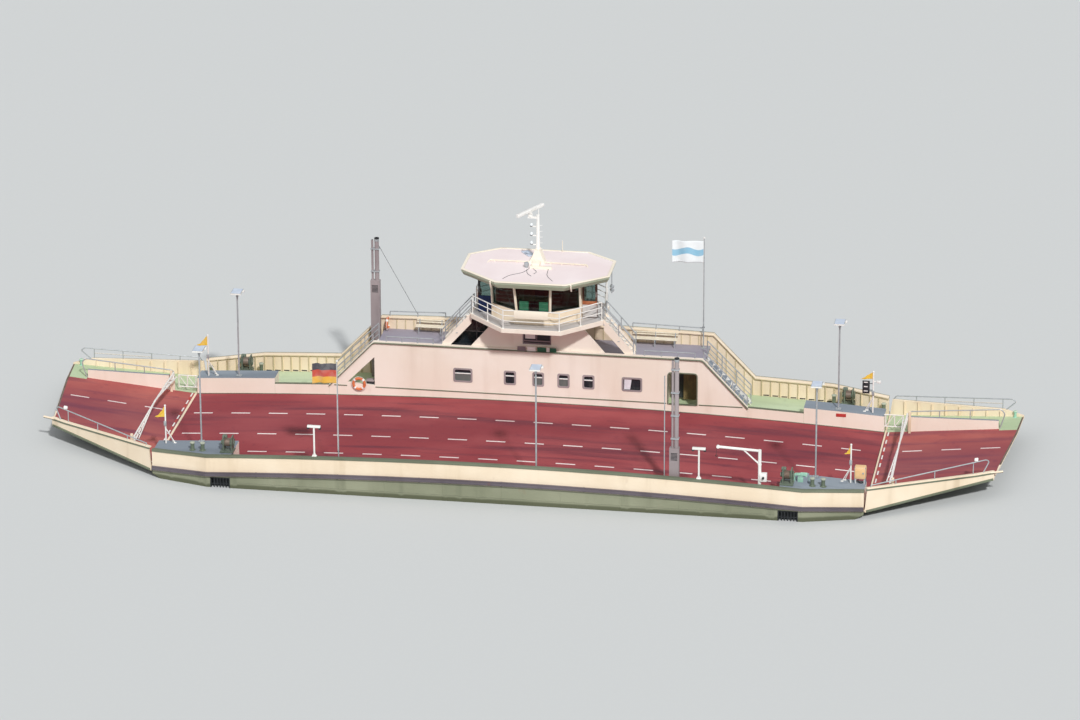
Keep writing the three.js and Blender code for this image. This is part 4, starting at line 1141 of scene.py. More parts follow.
@dataclass
class Bulwarks:
    """Both bulwarks: their cap rails and what stands on them."""

    out: float = 0.025
    inn: float = 0.124
    above: float = 0.004
    tees: tuple[float, ...] = (-4.81, 4.985)
    tee_y: float = -3.56
    tee_top: float = 1.78

    def build(self, frame: dict) -> None:
        """Dress the bulwarks and add caps, railing, ribs' feet and posts.

        Args:
            frame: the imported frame, whose nodes are dressed.
        """
        dress(frame, Look.CREAM, "bulwark_near", "bulwark_far")
        Piece("cap_rail_near", Look.OLIVE_TRIM).add(
            self.cap(-1, LINES.cap)).make()
        Piece("cap_rail_far", Look.CREAM).add(self.cap(1, LINES.far_top)).make()
        rim = self.cap(1, lambda x: LINES.far_top(x) + 0.004,
                       (-self.out - 0.002, -self.out + 0.02), 0.006)
        Piece("cap_edge_far", Look.OLIVE_TRIM).add(rim).make()
        piece = Piece("far_handrails", Look.STEEL)
        for x0, x1 in ((-4.2, -2.71), (2.28, 4.13)):
            path = [(x, LINES.half_beam - 0.05, LINES.far_top(x) + 0.002) for x in (x0, x1)]
            piece.add(*Railing(0.13, 1, 0.72, foot_radius=0.022).along(path))
        piece.make()
        self.far_ribs()
        self.crossbar_posts()

    def far_ribs(self) -> None:
        """Weld close ribs inside the far bulwark, with dark slots between them at the deck that
        paint the shade in the scuppers.
        """
        piece = Piece("far_bulwark_ribs", Look.RIB)
        for end in (-1, 1):
            for step in range(14):
                x = 5.70 + 0.24 * step
                self.rib(piece, end * x, LINES.deck(x) + 0.004, 0.052)
                inner = LINES.side(x + 0.12) - LINES.plate
                low = LINES.deck(x + 0.12) + 0.012
                if step < 13:
                    # Dark slot at the deck between two ribs: painted shade in a scupper.
                    piece.add(block((end * (x + 0.05), inner - 0.004, low),
                                    (end * (x + 0.2), inner + 0.002, low + 0.03)), finish=Look.DARK)
            for x in (4.52, 4.76, 5.0, 5.24, 5.46):
                self.rib(piece, end * x, LINES.deck(x) + 0.004, 0.03)
        for x in np.arange(-4.255, 4.3, 0.23):
            self.rib(piece, x, LINES.upper_z + 0.002, 0.022)
        piece.make()

    def rib(self, piece: Piece, x: float, low: float, depth: float) -> None:
        """Add one rib.

        Args:
            piece: what it is added to.
            x: where its left face is.
            low: its foot; it ends below the cap.
            depth: how far it stands in from the plate.
        """
        inner = LINES.side(x) - LINES.plate
        top = min(LINES.far_top(x), LINES.far_top(x + 0.016)) - 0.046
        piece.add(block((x - 0.002, inner - depth, low), (x + 0.016, inner + 0.002, top), 0.002))

    def cap(self, side: int, top: Callable, span: tuple | None = None,
            half: float = 0.0245) -> Shell:
        """Carry a rounded section along a bulwark's top, following its height and plan.

        Args:
            side: the sign of y of the bulwark.
            top: gives the height of the bulwark at x.
            span: how far the section reaches inboard, from and to; the whole cap if left out.
            half: half the section's depth.

        Returns:
            The swept shape.
        """
        xs = LINES.both()
        low, high = span or (-self.out, self.inn)
        section = corners((high - low) / 2, half, min(0.01, half * 0.6), 2)
        section = section + ((low + high) / 2, self.above - half)
        y = LINES.side(xs)[:, None] - section[None, :, 0]
        z = np.asarray(top(xs), float)[:, None] + section[None, :, 1]
        return skin(np.stack([np.broadcast_to(xs[:, None], y.shape), side * y, z], -1))

    def crossbar_posts(self) -> None:
        """Sheathe the two white posts with a crossbar, and add gussets and small lamps."""
        piece = Piece("crossbar_posts", Look.WHITE)
        for x in self.tees:
            foot = LINES.cap(x)
            piece.add(rod(x, self.tee_y, foot, self.tee_top - 0.02, 0.0245, 12))
            piece.add(block((x - 0.168, self.tee_y - 0.038, self.tee_top - 0.033),
                            (x + 0.168, self.tee_y + 0.038, self.tee_top + 0.023), 0.008, 2))
            piece.add(block((x - 0.06, self.tee_y - 0.05, foot),
                            (x + 0.06, self.tee_y + 0.05, foot + 0.014)))
            for way in (-1, 1):
                web = [[x + way * 0.02, foot + 0.012], [x + way * 0.055, foot + 0.012],
                       [x + way * 0.02, foot + 0.09]]
                piece.add(prism(web, self.tee_y - 0.004, self.tee_y + 0.004, "Y"))
                piece.add(block((x + way * 0.15 - 0.03, self.tee_y - 0.03, self.tee_top - 0.075),
                                (x + way * 0.15 + 0.03, self.tee_y + 0.03, self.tee_top - 0.03)),
                          finish=Look.DARK)
        piece.make()


@dataclass
class Platforms:
    """Mooring platforms, the far boxes, bollards, the hydraulic unit and the cabinet."""

    near_bollards: tuple = ((7.795, -3.15), (8.065, -3.12))
    far_bollards: tuple = ((7.645, 3.3), (8.97, 3.1))
    post: float = 0.0495

    def build(self, frame: dict) -> None:
        """Dress the platforms and add their fittings.

        Args:
            frame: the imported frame, whose nodes are dressed.
        """
        names = [f"platform_{side}_{end}" for side in ("near", "far") for end in ENDS]
        dress(frame, Look.GREY_DECK, *names)
        self.faces()
        self.bollards()
        self.hydraulics()
        self.cabinet()
        self.red_plate()
        self.frame_panels()

    def faces(self) -> None:
        """Cover the platforms' upright sides with wall paint."""
        piece = Piece("platform_faces", Look.WALL)
        xs = np.array([7.0, 7.9, 9.088])
        for y in (-2.475, LINES.wall_y, LINES.box_y):
            piece.pair(strip(xs, y, LINES.deck(xs) + 0.002, LINES.platform(xs) - 0.012))
        for low_y, high_y in ((-3.12, -2.48), (1.98, 2.495)):
            for x in (7.0, 9.09):
                low, high = LINES.deck(7.0 if x < 8 else 9.1) + 0.005, LINES.platform(x) - 0.014
                piece.pair(block((x - 0.003, low_y, low), (x + 0.003, high_y, high), 0.001))
        piece.make()

    def bollards(self) -> None:
        """Sheathe each bollard, with a flared foot and a broad cap."""
        piece = Piece("bollards", Look.BOLLARD)
        places = [(x, y, LINES.platform(x), 0.21) for x, y in self.near_bollards]
        places += [(x, y, LINES.deck(x), 0.35) for x, y in self.far_bollards]
        for x, y, z, top in places:
            for end in (-1, 1):
                post = [[0.085, -0.004], [0.085, 0.006], [0.06, 0.014], [self.post, 0.03],
                        [self.post, top - 0.032], [0.062, top - 0.026]]
                cap = [[0.062, top - 0.027], [0.066, top - 0.02], [0.066, top],
                       [0.056, top + 0.009], [0.03, top + 0.013]]
                piece.add(lathe(post, (end * x, y, z), 20))
                piece.add(lathe(cap, (end * x, y, z), 20), finish=Look.BOLLARD_CAP)
        piece.make()

    def hydraulics(self) -> None:
        """Add the mint-green hydraulic unit beside the right near winch: tank, pump and pipes."""
        z = LINES.platform(7.67) - 0.004
        piece = Piece("hydraulic_unit", Look.MINT)
        piece.add(block((7.397, -3.003, z), (7.56, -2.717, z + 0.156), 0.02, 2),
                  block((7.55, -2.95, z), (7.673, -2.717, z + 0.1), 0.015, 2))
        piece.add(lathe([[0.05, 0.0], [0.056, 0.01], [0.056, 0.16], [0.05, 0.17]],
                        (7.46, -2.8, z + 0.14), 18, "X"))
        for y in (-2.97, -2.91, -2.85):
            piece.add(tube([[7.32, y, z + 0.02], [7.32, y, z + 0.19], [7.6, y, z + 0.19],
                            [7.66, y, z + 0.1]], 0.012, 8, 0.04))
        for x in (7.44, 7.52):
            piece.add(lathe([[0.02, 0.0], [0.02, 0.03], [0.012, 0.04]], (x, -2.93, z + 0.15), 12),
                      finish=Look.STEEL)
        piece.make()

    def cabinet(self) -> None:
        """Stand the buff cabinet on its legs at the right near end, with a door and a hose."""
        z = LINES.platform(9.06)
        piece = Piece("buff_cabinet", Look.BUFF)
        piece.add(block((8.792, -2.70, z + 0.125), (9.088, -2.47, z + 0.45), 0.04, 3))
        piece.add(block((8.82, -2.707, z + 0.2), (8.94, -2.699, z + 0.37), 0.006))
        for x in (8.82, 9.05):
            for y in (-2.67, -2.5):
                piece.add(block((x - 0.013, y - 0.013, z), (x + 0.017, y + 0.017, z + 0.14), 0.003),
                          finish=Look.WHITE)
        piece.add(lathe([[0.02, 0.0], [0.024, 0.01], [0.024, 0.03]], (9.02, -2.72, z + 0.3), 12,
                        "Y"), finish=Look.STEEL)
        piece.add(tube([[8.9, -2.6, z + 0.13], [8.88, -2.64, z + 0.05], [8.96, -2.66, z + 0.02],
                        [9.03, -2.62, z + 0.03]], 0.014, 8, 0.03), finish=Look.RUBBER)
        piece.make()

    def frame_panels(self) -> None:
        """Stand a braced white frame at each far box, across the gap to the ramp's inner wall."""
        piece = Piece("frame_panels", Look.WHITE)
        y, x0, x1, z0, z1 = 1.99, 9.085, 9.6, 0.42, 0.74
        bars = [tube([[x0, y, z], [x1, y, z]], 0.014, 8) for z in (z0, z1)]
        bars += [rod(x, y, z0, z1, 0.014, 8) for x in (9.13, 9.36, 9.59)]
        bars += [tube([[9.13, y, z0], [9.36, y, z1]], 0.01, 8),
                 tube([[9.36, y, z0], [9.59, y, z1]], 0.01, 8)]
        piece.pair(*bars).make()

    def red_plate(self) -> None:
        """Bolt the small red plate to the right far box."""
        x, z = 7.97, 0.66
        plate = Piece("red_plate", Look.RED)
        plate.add(block((x - 0.13, LINES.wall_y - 0.012, z - 0.045),
                        (x + 0.13, LINES.wall_y - 0.0045, z + 0.045), 0.006, 2))
        plate.make()


@dataclass
class Deckhouse:
    """Deckhouse: wall trim, windows, doorway, panels and what hangs in the opening."""

    windows: tuple = ((-2.205, -1.73), (-0.865, -0.575), (-0.11, 0.165), (0.55, 0.84),
                      (1.21, 1.495), (2.245, 2.75))
    window_z: tuple[float, float] = (1.01, 1.37)
    far_windows: tuple = ((-3.6, -3.1), (-2.4, -1.9), (-1.0, -0.5), (0.5, 1.0), (1.9, 2.4))
    dark_panes: tuple = (-0.865, 1.21)
    door_x: tuple[float, float] = (3.44, 4.205)
    door_z: tuple[float, float] = (0.7, 1.58)
    frame_width: float = 0.028

    def build(self, frame: dict) -> None:
        """Dress the wall and add the trim, windows, doorway and fittings.

        Args:
            frame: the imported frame, whose nodes are dressed.
        """
        dress(frame, Look.WALL, "deckhouse")
        self.trim()
        self.glaze("cabin_windows_near", self.windows, LINES.wall_y, LINES.wall_y + LINES.plate, -1)
        self.glaze("cabin_windows_far", self.far_windows, LINES.half_beam,
                   LINES.half_beam - LINES.plate, 1)
        self.doorway()
        self.panels()
        self.lifebuoys()

    def trim(self) -> None:
        """Run the olive edge bar up the slopes and along the top of the near wall."""
        half, top = LINES.house_half, LINES.house_top_z
        foot, bar_y = [LINES.stair_foot_x, LINES.coaming_z - 0.035], LINES.wall_y - 0.006
        path = [[-foot[0], bar_y, foot[1]], [-half, bar_y, top - 0.045],
                [half, bar_y, top - 0.045], [foot[0], bar_y, foot[1]]]
        section = corners(0.012, 0.042, 0.006, 2)
        piece = Piece("deckhouse_edge_bar", Look.OLIVE_TRIM)
        piece.add(carried(section, rounded(path, 0.06, 3))).make()
        rails = Piece("deckhouse_handrails", Look.STEEL)
        for x0, x1 in ((-4.0, -2.75), (2.82, 4.14)):
            feet = [(x, LINES.wall_y + 0.03, top + 0.001) for x in (x0, x1)]
            rails.add(*Railing(0.13, 1, 0.49, foot_radius=0.022).along(feet))
        rails.make()
        inside = Piece("parapet_inner_face", Look.CREAM)
        inside.add(block((-half + 0.01, LINES.wall_y + LINES.plate - 0.002, LINES.upper_z + 0.002),
                         (half - 0.01, LINES.wall_y + LINES.plate + 0.003, top - 0.04),
                         0.001)).make()

    def glaze(self, name: str, spans: tuple, face: float, back: float, out: int) -> None:
        """Fill window openings with a rounded frame, a pane and a bar across.

        Args:
            name: the piece's name.
            spans: x from and to for each window.
            face: y of the wall's outer face.
            back: y of its inner face.
            out: the sign of y that points out of the room.
        """
        piece = Piece(name, Look.DARK, slot="window_glass")
        z0, z1 = self.window_z
        for x0, x1 in spans:
            centre = np.array([(x0 + x1) / 2, (z0 + z1) / 2])
            half = np.array([(x1 - x0) / 2, (z1 - z0) / 2])
            outer = corners(half[0] + 0.016, half[1] + 0.016, 0.05, 4) + centre
            opening = half - self.frame_width
            inner = corners(opening[0], opening[1], 0.04, 4) + centre
            levels = [(outer, face), (outer, face + out * 0.012), (inner, face + out * 0.012),
                      (inner, face)]
            rings = np.stack([np.insert(flat, 1, y, axis=1) for flat, y in levels])
            wide = x1 - x0 > 0.45 and x0 > 0
            piece.add(skin(rings, joined=True), finish=Look.EXHAUST)
            middle = (face + back) / 2
            lower = Look.CABIN_GLASS_AND_SHADE if x0 in self.dark_panes else Look.LOWER_PANE
            pane = corners(half[0] - 0.001, half[1] - 0.001, 0.03, 4) + centre
            piece.add(prism(pane, middle - 0.004, middle + 0.004, "Y"), finish=Look.CABIN_GLASS_AND_SHADE)
            if wide and out < 0:
                blind = [[x0 + 0.04, z0 + 0.03], [x0 + 0.2, z0 + 0.03], [x0 + 0.24, z1 - 0.05],
                         [x0 + 0.05, z1 - 0.03]]
                piece.add(prism(blind, middle - 0.012, middle - 0.006, "Y"), finish=Look.BLIND)
            else:
                bar = z0 + (z1 - z0) * 0.62
                piece.add(block((x0 + 0.001, middle - 0.026, bar - 0.014),
                                (x1 - 0.001, middle + 0.012, bar + 0.014)), finish=Look.WHITE)
                piece.add(block((x0 + 0.02, middle - 0.014, z0 + 0.02),
                                (x1 - 0.02, middle - 0.006, bar - 0.01)), finish=lower)
        piece.make()

    def doorway(self) -> None:
        """Frame the doorway with a rounded steel bar, and paint the shaded space behind it."""
        x0, x1 = self.door_x
        z0, z1 = self.door_z
        piece = Piece("doorway_frame", Look.OLIVE_TRIM)
        path = [[x, LINES.wall_y - FACE, z] for x, z in ((x0, z0), (x0, z1), (x1, z1), (x1, z0))]
        piece.add(carried(corners(0.016, 0.014, 0.004, 1), rounded(path, 0.09, 5)))
        piece.add(block((x0 + 0.02, LINES.wall_y - 0.02, z0 - 0.01),
                        (x1 - 0.02, LINES.wall_y + 0.07, z0 + 0.006)))
        # Behind the doorway a brown ribbed panel and a dark block paint the shade of the space
        # under the upper deck.
        y = LINES.wall_y + 0.75
        piece.add(block((3.75, y, 0.56), (4.32, y + 0.02, 1.66)), finish=Look.SHADED_WALL)
        for x in np.arange(3.8, 4.3, 0.085):
            piece.add(block((x, y - 0.008, 0.57), (x + 0.02, y + 0.002, 1.65), 0.003),
                      finish=Look.SHADED_WALL)
        piece.add(block((3.44, y + 0.1, 0.56), (3.76, y + 0.12, 1.66)), finish=Look.DARK)
        piece.make()

    def panels(self) -> None:
        """Hang the row of blank panels on the wall's top edge."""
        row = [(-0.515, -0.297, Look.MAUVE), (-0.256, -0.035, Look.WHITE),
               (0.006, 0.238, Look.GREEN_PANEL), (0.258, 0.33, Look.WHITE),
               (0.34, 0.51, Look.GREEN_PANEL)]
        piece = Piece("blank_panels", Look.WHITE)
        for x0, x1, finish in row:
            piece.add(block((x0, LINES.wall_y - 0.034, 1.965), (x1, LINES.wall_y - 0.02, 2.095),
                            0.006, 2), finish=finish)
        piece.make()

    def lifebuoys(self) -> None:
        """Hang two lifebuoys and stow a dark locker in the opening below the left stair."""
        piece = Piece("deckhouse_lifebuoys", Look.ORANGE)
        Lifebuoy(0.15, 0.036).hang(piece, (-4.732, 1.93, 0.80))
        Lifebuoy(0.15, 0.034).hang(piece, (-4.25, 3.52, 1.93), "X")
        piece.make()
        locker = Piece("stowed_locker", Look.DARK)
        locker.add(block((-4.56, 2.06, 0.49), (-4.36, 2.2, 0.84), 0.015, 2))
        locker.add(block((-4.57, 2.05, 0.83), (-4.35, 2.21, 0.87), 0.008, 2),
                   finish=Look.EXHAUST).make()


@dataclass(frozen=True)
class Lifebuoy:
    """A ring buoy with four white bands and its grab line."""

    radius: float = 0.15
    thickness: float = 0.034

    def hang(self, piece: Piece, at: Point, axis: str = "Y") -> None:
        """Add the buoy to a piece.

        Args:
            piece: what it is added to.
            at: its centre.
            axis: the direction it faces.
        """
        piece.add(hoop(at, self.radius, self.thickness, axis), finish=Look.ORANGE)
        flat = np.array(at, float)
        for quarter in range(4):
            angle = math.pi / 4 + quarter * math.pi / 2
            arc = angle + np.linspace(-0.16, 0.16, 4)
            across, up = self.radius * np.cos(arc), self.radius * np.sin(arc)
            way = {"Y": (across, 0 * arc, up), "X": (0 * arc, across, up),
                   "Z": (across, up, 0 * arc)}[axis]
            piece.add(carried(circle(self.thickness + 0.0025, 10), flat + np.stack(way, -1)),
                      finish=Look.PLAIN_WHITE)
        piece.add(hoop(at, self.radius + self.thickness + 0.012, 0.005, axis),
                  finish=Look.PLAIN_WHITE)


@dataclass
class UpperDeck:
    """Upper deck with its benches, and the stairs."""

    def build(self, frame: dict) -> None:
        """Dress the deck and the stairs and add handrails and benches.

        Args:
            frame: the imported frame, whose nodes are dressed.
        """
        dress(frame, Look.UPPER_DECK, "upper_deck")
        dress(frame, Look.WALL, "bridge_stair_left", "bridge_stair_right")
        dress(frame, Look.WHITE, "deck_stair_left", "deck_stair_right")
        self.stair_rails()
        self.benches()

    def stair_rails(self) -> None:
        """Sheathe the stairs' handrails and put nosings on the treads."""
        stairs = {  # name: foot and head as [x, z], y from and to, stringer, bars, tread finish
            "deck_stair_handrails":
                ([5.51, 0.4367], [4.36, 1.745], 2.04, 2.885, 0.15, 3, Look.GREY_DECK),
            "bridge_stair_handrails":
                ([2.52, 1.753], [1.745, 2.925], 2.045, 2.545, 0.3, 2, Look.WHITE),
        }
        steps = 10
        for name, (foot, head, y0, y1, stringer, bars, tread) in stairs.items():
            rail = Railing(bars=bars, spacing=0.6)
            piece = Piece(name, Look.STEEL)
            shells = []
            for y in (y0 + 0.015, y1 - 0.015):
                path = [(foot[0], y, foot[1] + stringer / 2), (head[0], y, head[1] - stringer / 2)]
                shells += rail.along(path)
            treads = []
            for step in range(1, steps):
                x = foot[0] + (head[0] - foot[0]) * step / steps
                z = foot[1] + (head[1] - foot[1]) * step / steps
                treads.append(block((x - 0.062, y0 + 0.034, z + 0.0205),
                                    (x + 0.069, y1 - 0.034, z + 0.026), 0.002))
            piece.pair(*shells).pair(*treads, finish=tread).make()

    def benches(self) -> None:
        """Stand slatted benches with a back on tube frames along the upper deck."""
        piece = Piece("benches", Look.PLAIN_WHITE)
        for x, length in ((2.9, 1.2), (-3.09, 0.75)):
            self.bench(piece, x, 3.42, length)
        piece.make()

    def bench(self, piece: Piece, x: float, y: float, length: float) -> None:
        """Add one bench, its low back towards the far side.

        Args:
            piece: what it is added to.
            x: its middle along the boat.
            y: its middle across the boat.
            length: its length.
        """
        z = LINES.upper_z
        x0, x1 = x - length / 2, x + length / 2
        for depth in (-0.13, -0.075, -0.02, 0.035):
            piece.add(block((x0, y + depth, z + 0.2), (x1, y + depth + 0.045, z + 0.215), 0.005),
                      finish=Look.PALE_WOOD)
        for lift in (0.25, 0.305):
            piece.add(block((x0, y + 0.09 + lift * 0.1, z + lift),
                            (x1, y + 0.105 + lift * 0.1, z + lift + 0.04), 0.005),
                      finish=Look.PALE_WOOD)
        for way in np.linspace(x0 + 0.08, x1 - 0.08, max(2, round(length / 0.35))):
            back = [[way, y - 0.12, z], [way, y - 0.12, z + 0.19], [way, y + 0.085, z + 0.19],
                    [way, y + 0.125, z + 0.345]]
            piece.add(tube(back, 0.012, 8, 0.04), rod(way, y + 0.08, z, z + 0.19, 0.012, 8),
                      finish=Look.STEEL)


@dataclass
class Tower:
    """Tower under the wheelhouse and the gallery round it."""

    window_x: tuple[float, float] = (-0.37, 0.34)
    window_z: tuple[float, float] = (2.17, 2.46)
    front_y: float = 2.045
    gallery: tuple = ((0.76, 1.0), (1.725, 1.95), (1.725, 3.05), (1.25, 3.5))
    floor_z: float = 2.93
    board_half: float = 0.44
    board_z: tuple[float, float] = (3.23, 3.44)

    def build(self, frame: dict) -> None:
        """Dress the tower and the gallery and add the window, fascia, floor, railing and board.

        Args:
            frame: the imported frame, whose nodes are dressed.
        """
        dress(frame, Look.WALL, "bridge_tower", "balcony")
        # The dark glass screen between the left stair and the tower paints the deep shade under the
        # gallery.
        dress(frame, Look.CABIN_GLASS_AND_SHADE, "stair_screen")
        self.window()
        self.floor()
        self.railing()

    def window(self) -> None:
        """Fill the tower's window with a frame, a transom, a blind on the left and a dark pane."""
        x0, x1 = self.window_x
        z0, z1 = self.window_z
        y = self.front_y
        piece = Piece("tower_window", Look.MAUVE)
        for low, high in (((x0 - 0.02, z0 - 0.035), (x1 + 0.02, z0 + 0.005)),
                          ((x0 - 0.02, z1 - 0.012), (x1 + 0.02, z1 + 0.02)),
                          ((x0 - 0.02, z0), (x0 + 0.012, z1)), ((x1 - 0.012, z0), (x1 + 0.02, z1)),
                          ((-0.035, 2.26), (-0.01, z1)), ((x0 + 0.01, 2.21), (x1 - 0.01, 2.25))):
            piece.add(block((low[0], y - 0.012, low[1]), (high[0], y + 0.012, high[1])))
        piece.add(block((x0 + 0.001, y + 0.02, z0 + 0.001), (x1 - 0.001, y + 0.028, z1 - 0.001),
                        0.002), finish=Look.DARK)
        piece.add(block((x0 + 0.04, y + 0.013, 2.28), (-0.06, y + 0.018, z1 - 0.03)),
                  finish=Look.PLAIN_WHITE)
        piece.make()
        # Bars on that screen, for the lines seen in the shaded region: part of the painted shade.
        bars = Piece("shade_screen_bars", Look.EXHAUST)
        bars.add(block((-2.42, 2.568, 1.765), (-1.08, 2.574, 1.79)),
                 block((-1.64, 2.568, 2.83), (-1.08, 2.574, 2.855)),
                 block((-1.2, 2.568, 1.79), (-1.175, 2.574, 2.83)),
                 block((-2.1, 2.568, 2.2), (-1.2, 2.574, 2.215)),
                 block((-1.7, 2.568, 1.79), (-1.688, 2.574, 2.66))).make()

    def floor(self) -> None:
        """Lay grey paint on the gallery's floor and hang its cream fascia round the edge."""
        piece = Piece("gallery_floor_paint", Look.PALE_DECK)
        piece.add(prism(symmetric(self.gallery, 0.02), self.floor_z + 0.0005,
                        self.floor_z + 0.003)).make()
        path = [[x, y, self.floor_z - 0.056] for x, y in symmetric(self.gallery, -0.008)]
        fascia = Piece("gallery_fascia", Look.WALL)
        fascia.add(carried(corners(0.012, 0.06, 0.006, 1), path, joined=True)).make()

    def railing(self) -> None:
        """Sheathe the gallery's railing and mount the blank board on its front."""
        edge = symmetric(self.gallery, 0.025)
        half = [edge[0], [(a + b) / 2 for a, b in zip(*edge[:2])], edge[1]]
        front = [(-x, y) for x, y in half[::-1]] + [(x, y) for x, y in half]
        gap_y = edge[1][1] + 0.64
        rear = [(edge[2][0], gap_y), tuple(edge[2]), tuple(edge[3]), (-edge[3][0], edge[3][1]),
                (-edge[2][0], edge[2][1]), (-edge[2][0], gap_y)]
        piece = Piece("gallery_railing", Look.WHITE)
        for line, spacing in ((front, 1.5), (rear, 1.0)):
            piece.add(*Railing(spacing=spacing).along([(x, y, self.floor_z) for x, y in line]))
        piece.make()
        y = edge[0][1]
        board = Piece("blank_board", Look.ROOF_EDGE, slot="white_paint")
        board.add(block((-self.board_half - 0.004, y - 0.026, self.board_z[0] - 0.004),
                        (self.board_half + 0.004, y + 0.007, self.board_z[1] + 0.004), 0.006,
                        2)).make()


@dataclass
class Wheelhouse:
    """Wheelhouse: posts, glass, doors and the helm inside."""

    sill: tuple = ((0.45, 1.37), (1.175, 1.85), (1.175, 2.775), (0.7, 3.25))
    head: tuple = ((0.49, 1.19), (1.175, 1.66), (1.175, 2.9), (0.725, 3.39))
    sill_z: float = 3.3
    head_z: float = 4.08
    floor_z: float = 2.93

    def build(self, frame: dict) -> None:
        """Dress the house and add its window frames, helm and lifebuoys.

        Args:
            frame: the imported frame, whose nodes are dressed.
        """
        dress(frame, Look.CREAM, "wheelhouse")
        dress(frame, Look.GLASS, "glass_front", "glass_rear")
        dress(frame, Look.DARK, "wheelhouse_door_left")
        dress(frame, Look.DARK_WOOD, "wheelhouse_door_right")
        self.frames()
        self.helm()
        self.gallery_gear()

    def frames(self) -> None:
        """Run a dark seal along sill and head, and sheathe the leaning posts."""
        seals = Piece("wheelhouse_window_seals", Look.DARK, slot="window_glass")
        posts = Piece("wheelhouse_posts", Look.ROOF_EDGE)
        low, high = symmetric(self.sill), symmetric(self.head)
        for ring, z in ((low, self.sill_z + 0.004), (high, self.head_z - 0.055)):
            flat = np.array(ring) * (0.985, 1)
            flat[:, 1] += np.where(flat[:, 1] < HOUSE_Y, 0.02, -0.02)
            for a, b in ((6, 7), (7, 0), (0, 1), (2, 3), (3, 4), (4, 5)):
                seals.add(tube([[*flat[a], z], [*flat[b], z]], 0.012, 6))
        for (x0, y0), (x1, y1) in zip(low, high):
            sign = 1 if y0 > HOUSE_Y else -1
            foot = [x0 * 0.983, y0 - sign * 0.018, self.sill_z - 0.01]
            top = [x1 * 0.983, y1 - sign * 0.018, self.head_z - 0.02]
            posts.add(tube([foot, top], 0.0295, 12))
        seals.make()
        posts.make()

    def helm(self) -> None:
        """Furnish the room: desk with two green screens, chair and a rear cabinet."""
        piece = Piece("helm_desk", Look.DARK)
        z = self.floor_z
        desk = [[1.64, z + 0.012], [2.0, z + 0.012], [2.0, z + 0.3], [1.9, z + 0.36],
                [1.64, z + 0.36]]
        piece.add(prism(desk, -0.42, 0.42, "X"))
        for x in (-0.278, 0.238):
            piece.add(block((x - 0.13, 1.60, z + 0.26), (x + 0.13, 1.63, z + 0.57), 0.008, 2))
            for at in (1.592, 1.629):
                piece.add(block((x - 0.12, at, z + 0.27), (x + 0.12, at + 0.008, z + 0.56), 0.002),
                          finish=Look.SCREEN)
        for x in (-0.1, 0.1):
            piece.add(lathe([[0.02, 0], [0.02, 0.05], [0.03, 0.07], [0.02, 0.09]],
                            (x, 1.85, z + 0.33), 12))
        piece.make()
        chair = Piece("helm_chair", Look.RUBBER)
        chair.add(lathe([[0.14, 0.003], [0.14, 0.02], [0.03, 0.04], [0.03, 0.24]], (0, 2.3, z), 16),
                  finish=Look.STEEL)
        chair.add(block((-0.13, 2.17, z + 0.23), (0.13, 2.43, z + 0.3), 0.03, 3))
        chair.add(block((-0.12, 2.4, z + 0.3), (0.12, 2.46, z + 0.64), 0.03, 3))
        for x in (-0.16, 0.16):
            chair.add(block((x - 0.02, 2.2, z + 0.36), (x + 0.02, 2.42, z + 0.39), 0.01, 2))
        chair.make()
        cabinet = Piece("wheelhouse_cabinet", Look.WOOD)
        cabinet.add(block((-0.5, 2.95, z + 0.004), (0.5, 3.16, z + 0.42), 0.01, 2)).make()

    def gallery_gear(self) -> None:
        """Add the doors' panes and panels, a lifebuoy, two stanchions and the horns."""
        hinge, z, y = 1.167, self.floor_z, 2.088
        for end, sign in ENDS.items():
            body = f"door_{end}"
            piece = Piece(f"door_panels_{end}", Look.BLUE if sign < 0 else Look.PALE_DECK, body,
                          "cream_paint")
            span = sorted((sign * (hinge + 0.012), sign * (hinge + 0.392)))
            piece.add(block((span[0], y - 0.005, z + 0.035), (span[1], y + 0.03, self.sill_z),
                            0.004))
            piece.add(block((span[0] + 0.045, y + 0.009, self.sill_z + 0.001),
                            (span[1] - 0.045, y + 0.015, 3.949)), finish=Look.GLASS)
            rail = Look.BLUE if sign < 0 else Look.WOOD
            piece.add(block((span[0], y - 0.009, self.sill_z),
                            (span[1], y + 0.034, self.sill_z + 0.1), 0.006, 2), finish=rail)
            at = sign * (hinge + 0.37)
            piece.add(tube([[at, y - 0.004, z + 0.6], [at, y - 0.03, z + 0.6],
                            [at, y - 0.03, z + 0.72], [at, y - 0.004, z + 0.72]], 0.008, 8, 0.01),
                      finish=Look.STEEL)
            piece.make()
        buoy = Piece("gallery_lifebuoy", Look.MAROON)
        Lifebuoy(0.12, 0.034).hang(buoy, (-1.62, 2.62, 3.25), "X")
        buoy.make()
        posts = Piece("roof_stanchion", Look.WHITE)
        posts.add(rod(1.735, 2.6, self.floor_z - 0.1, 4.15, 0.026, 10),
                  rod(-1.70, 2.62, self.floor_z, 3.42, 0.018, 10)).make()
        horn = Piece("horns", Look.STEEL)
        for drop in (0.0, 0.1):
            horn.add(lathe([[0.02, -0.08], [0.024, 0.0], [0.05, 0.06], [0.06, 0.07], [0.03, 0.075]],
                                 (1.88, 2.52, 3.66 - drop), 14, "Y"))
        horn.add(rod(1.88, 2.55, 3.48, 4.2, 0.012, 8)).make()


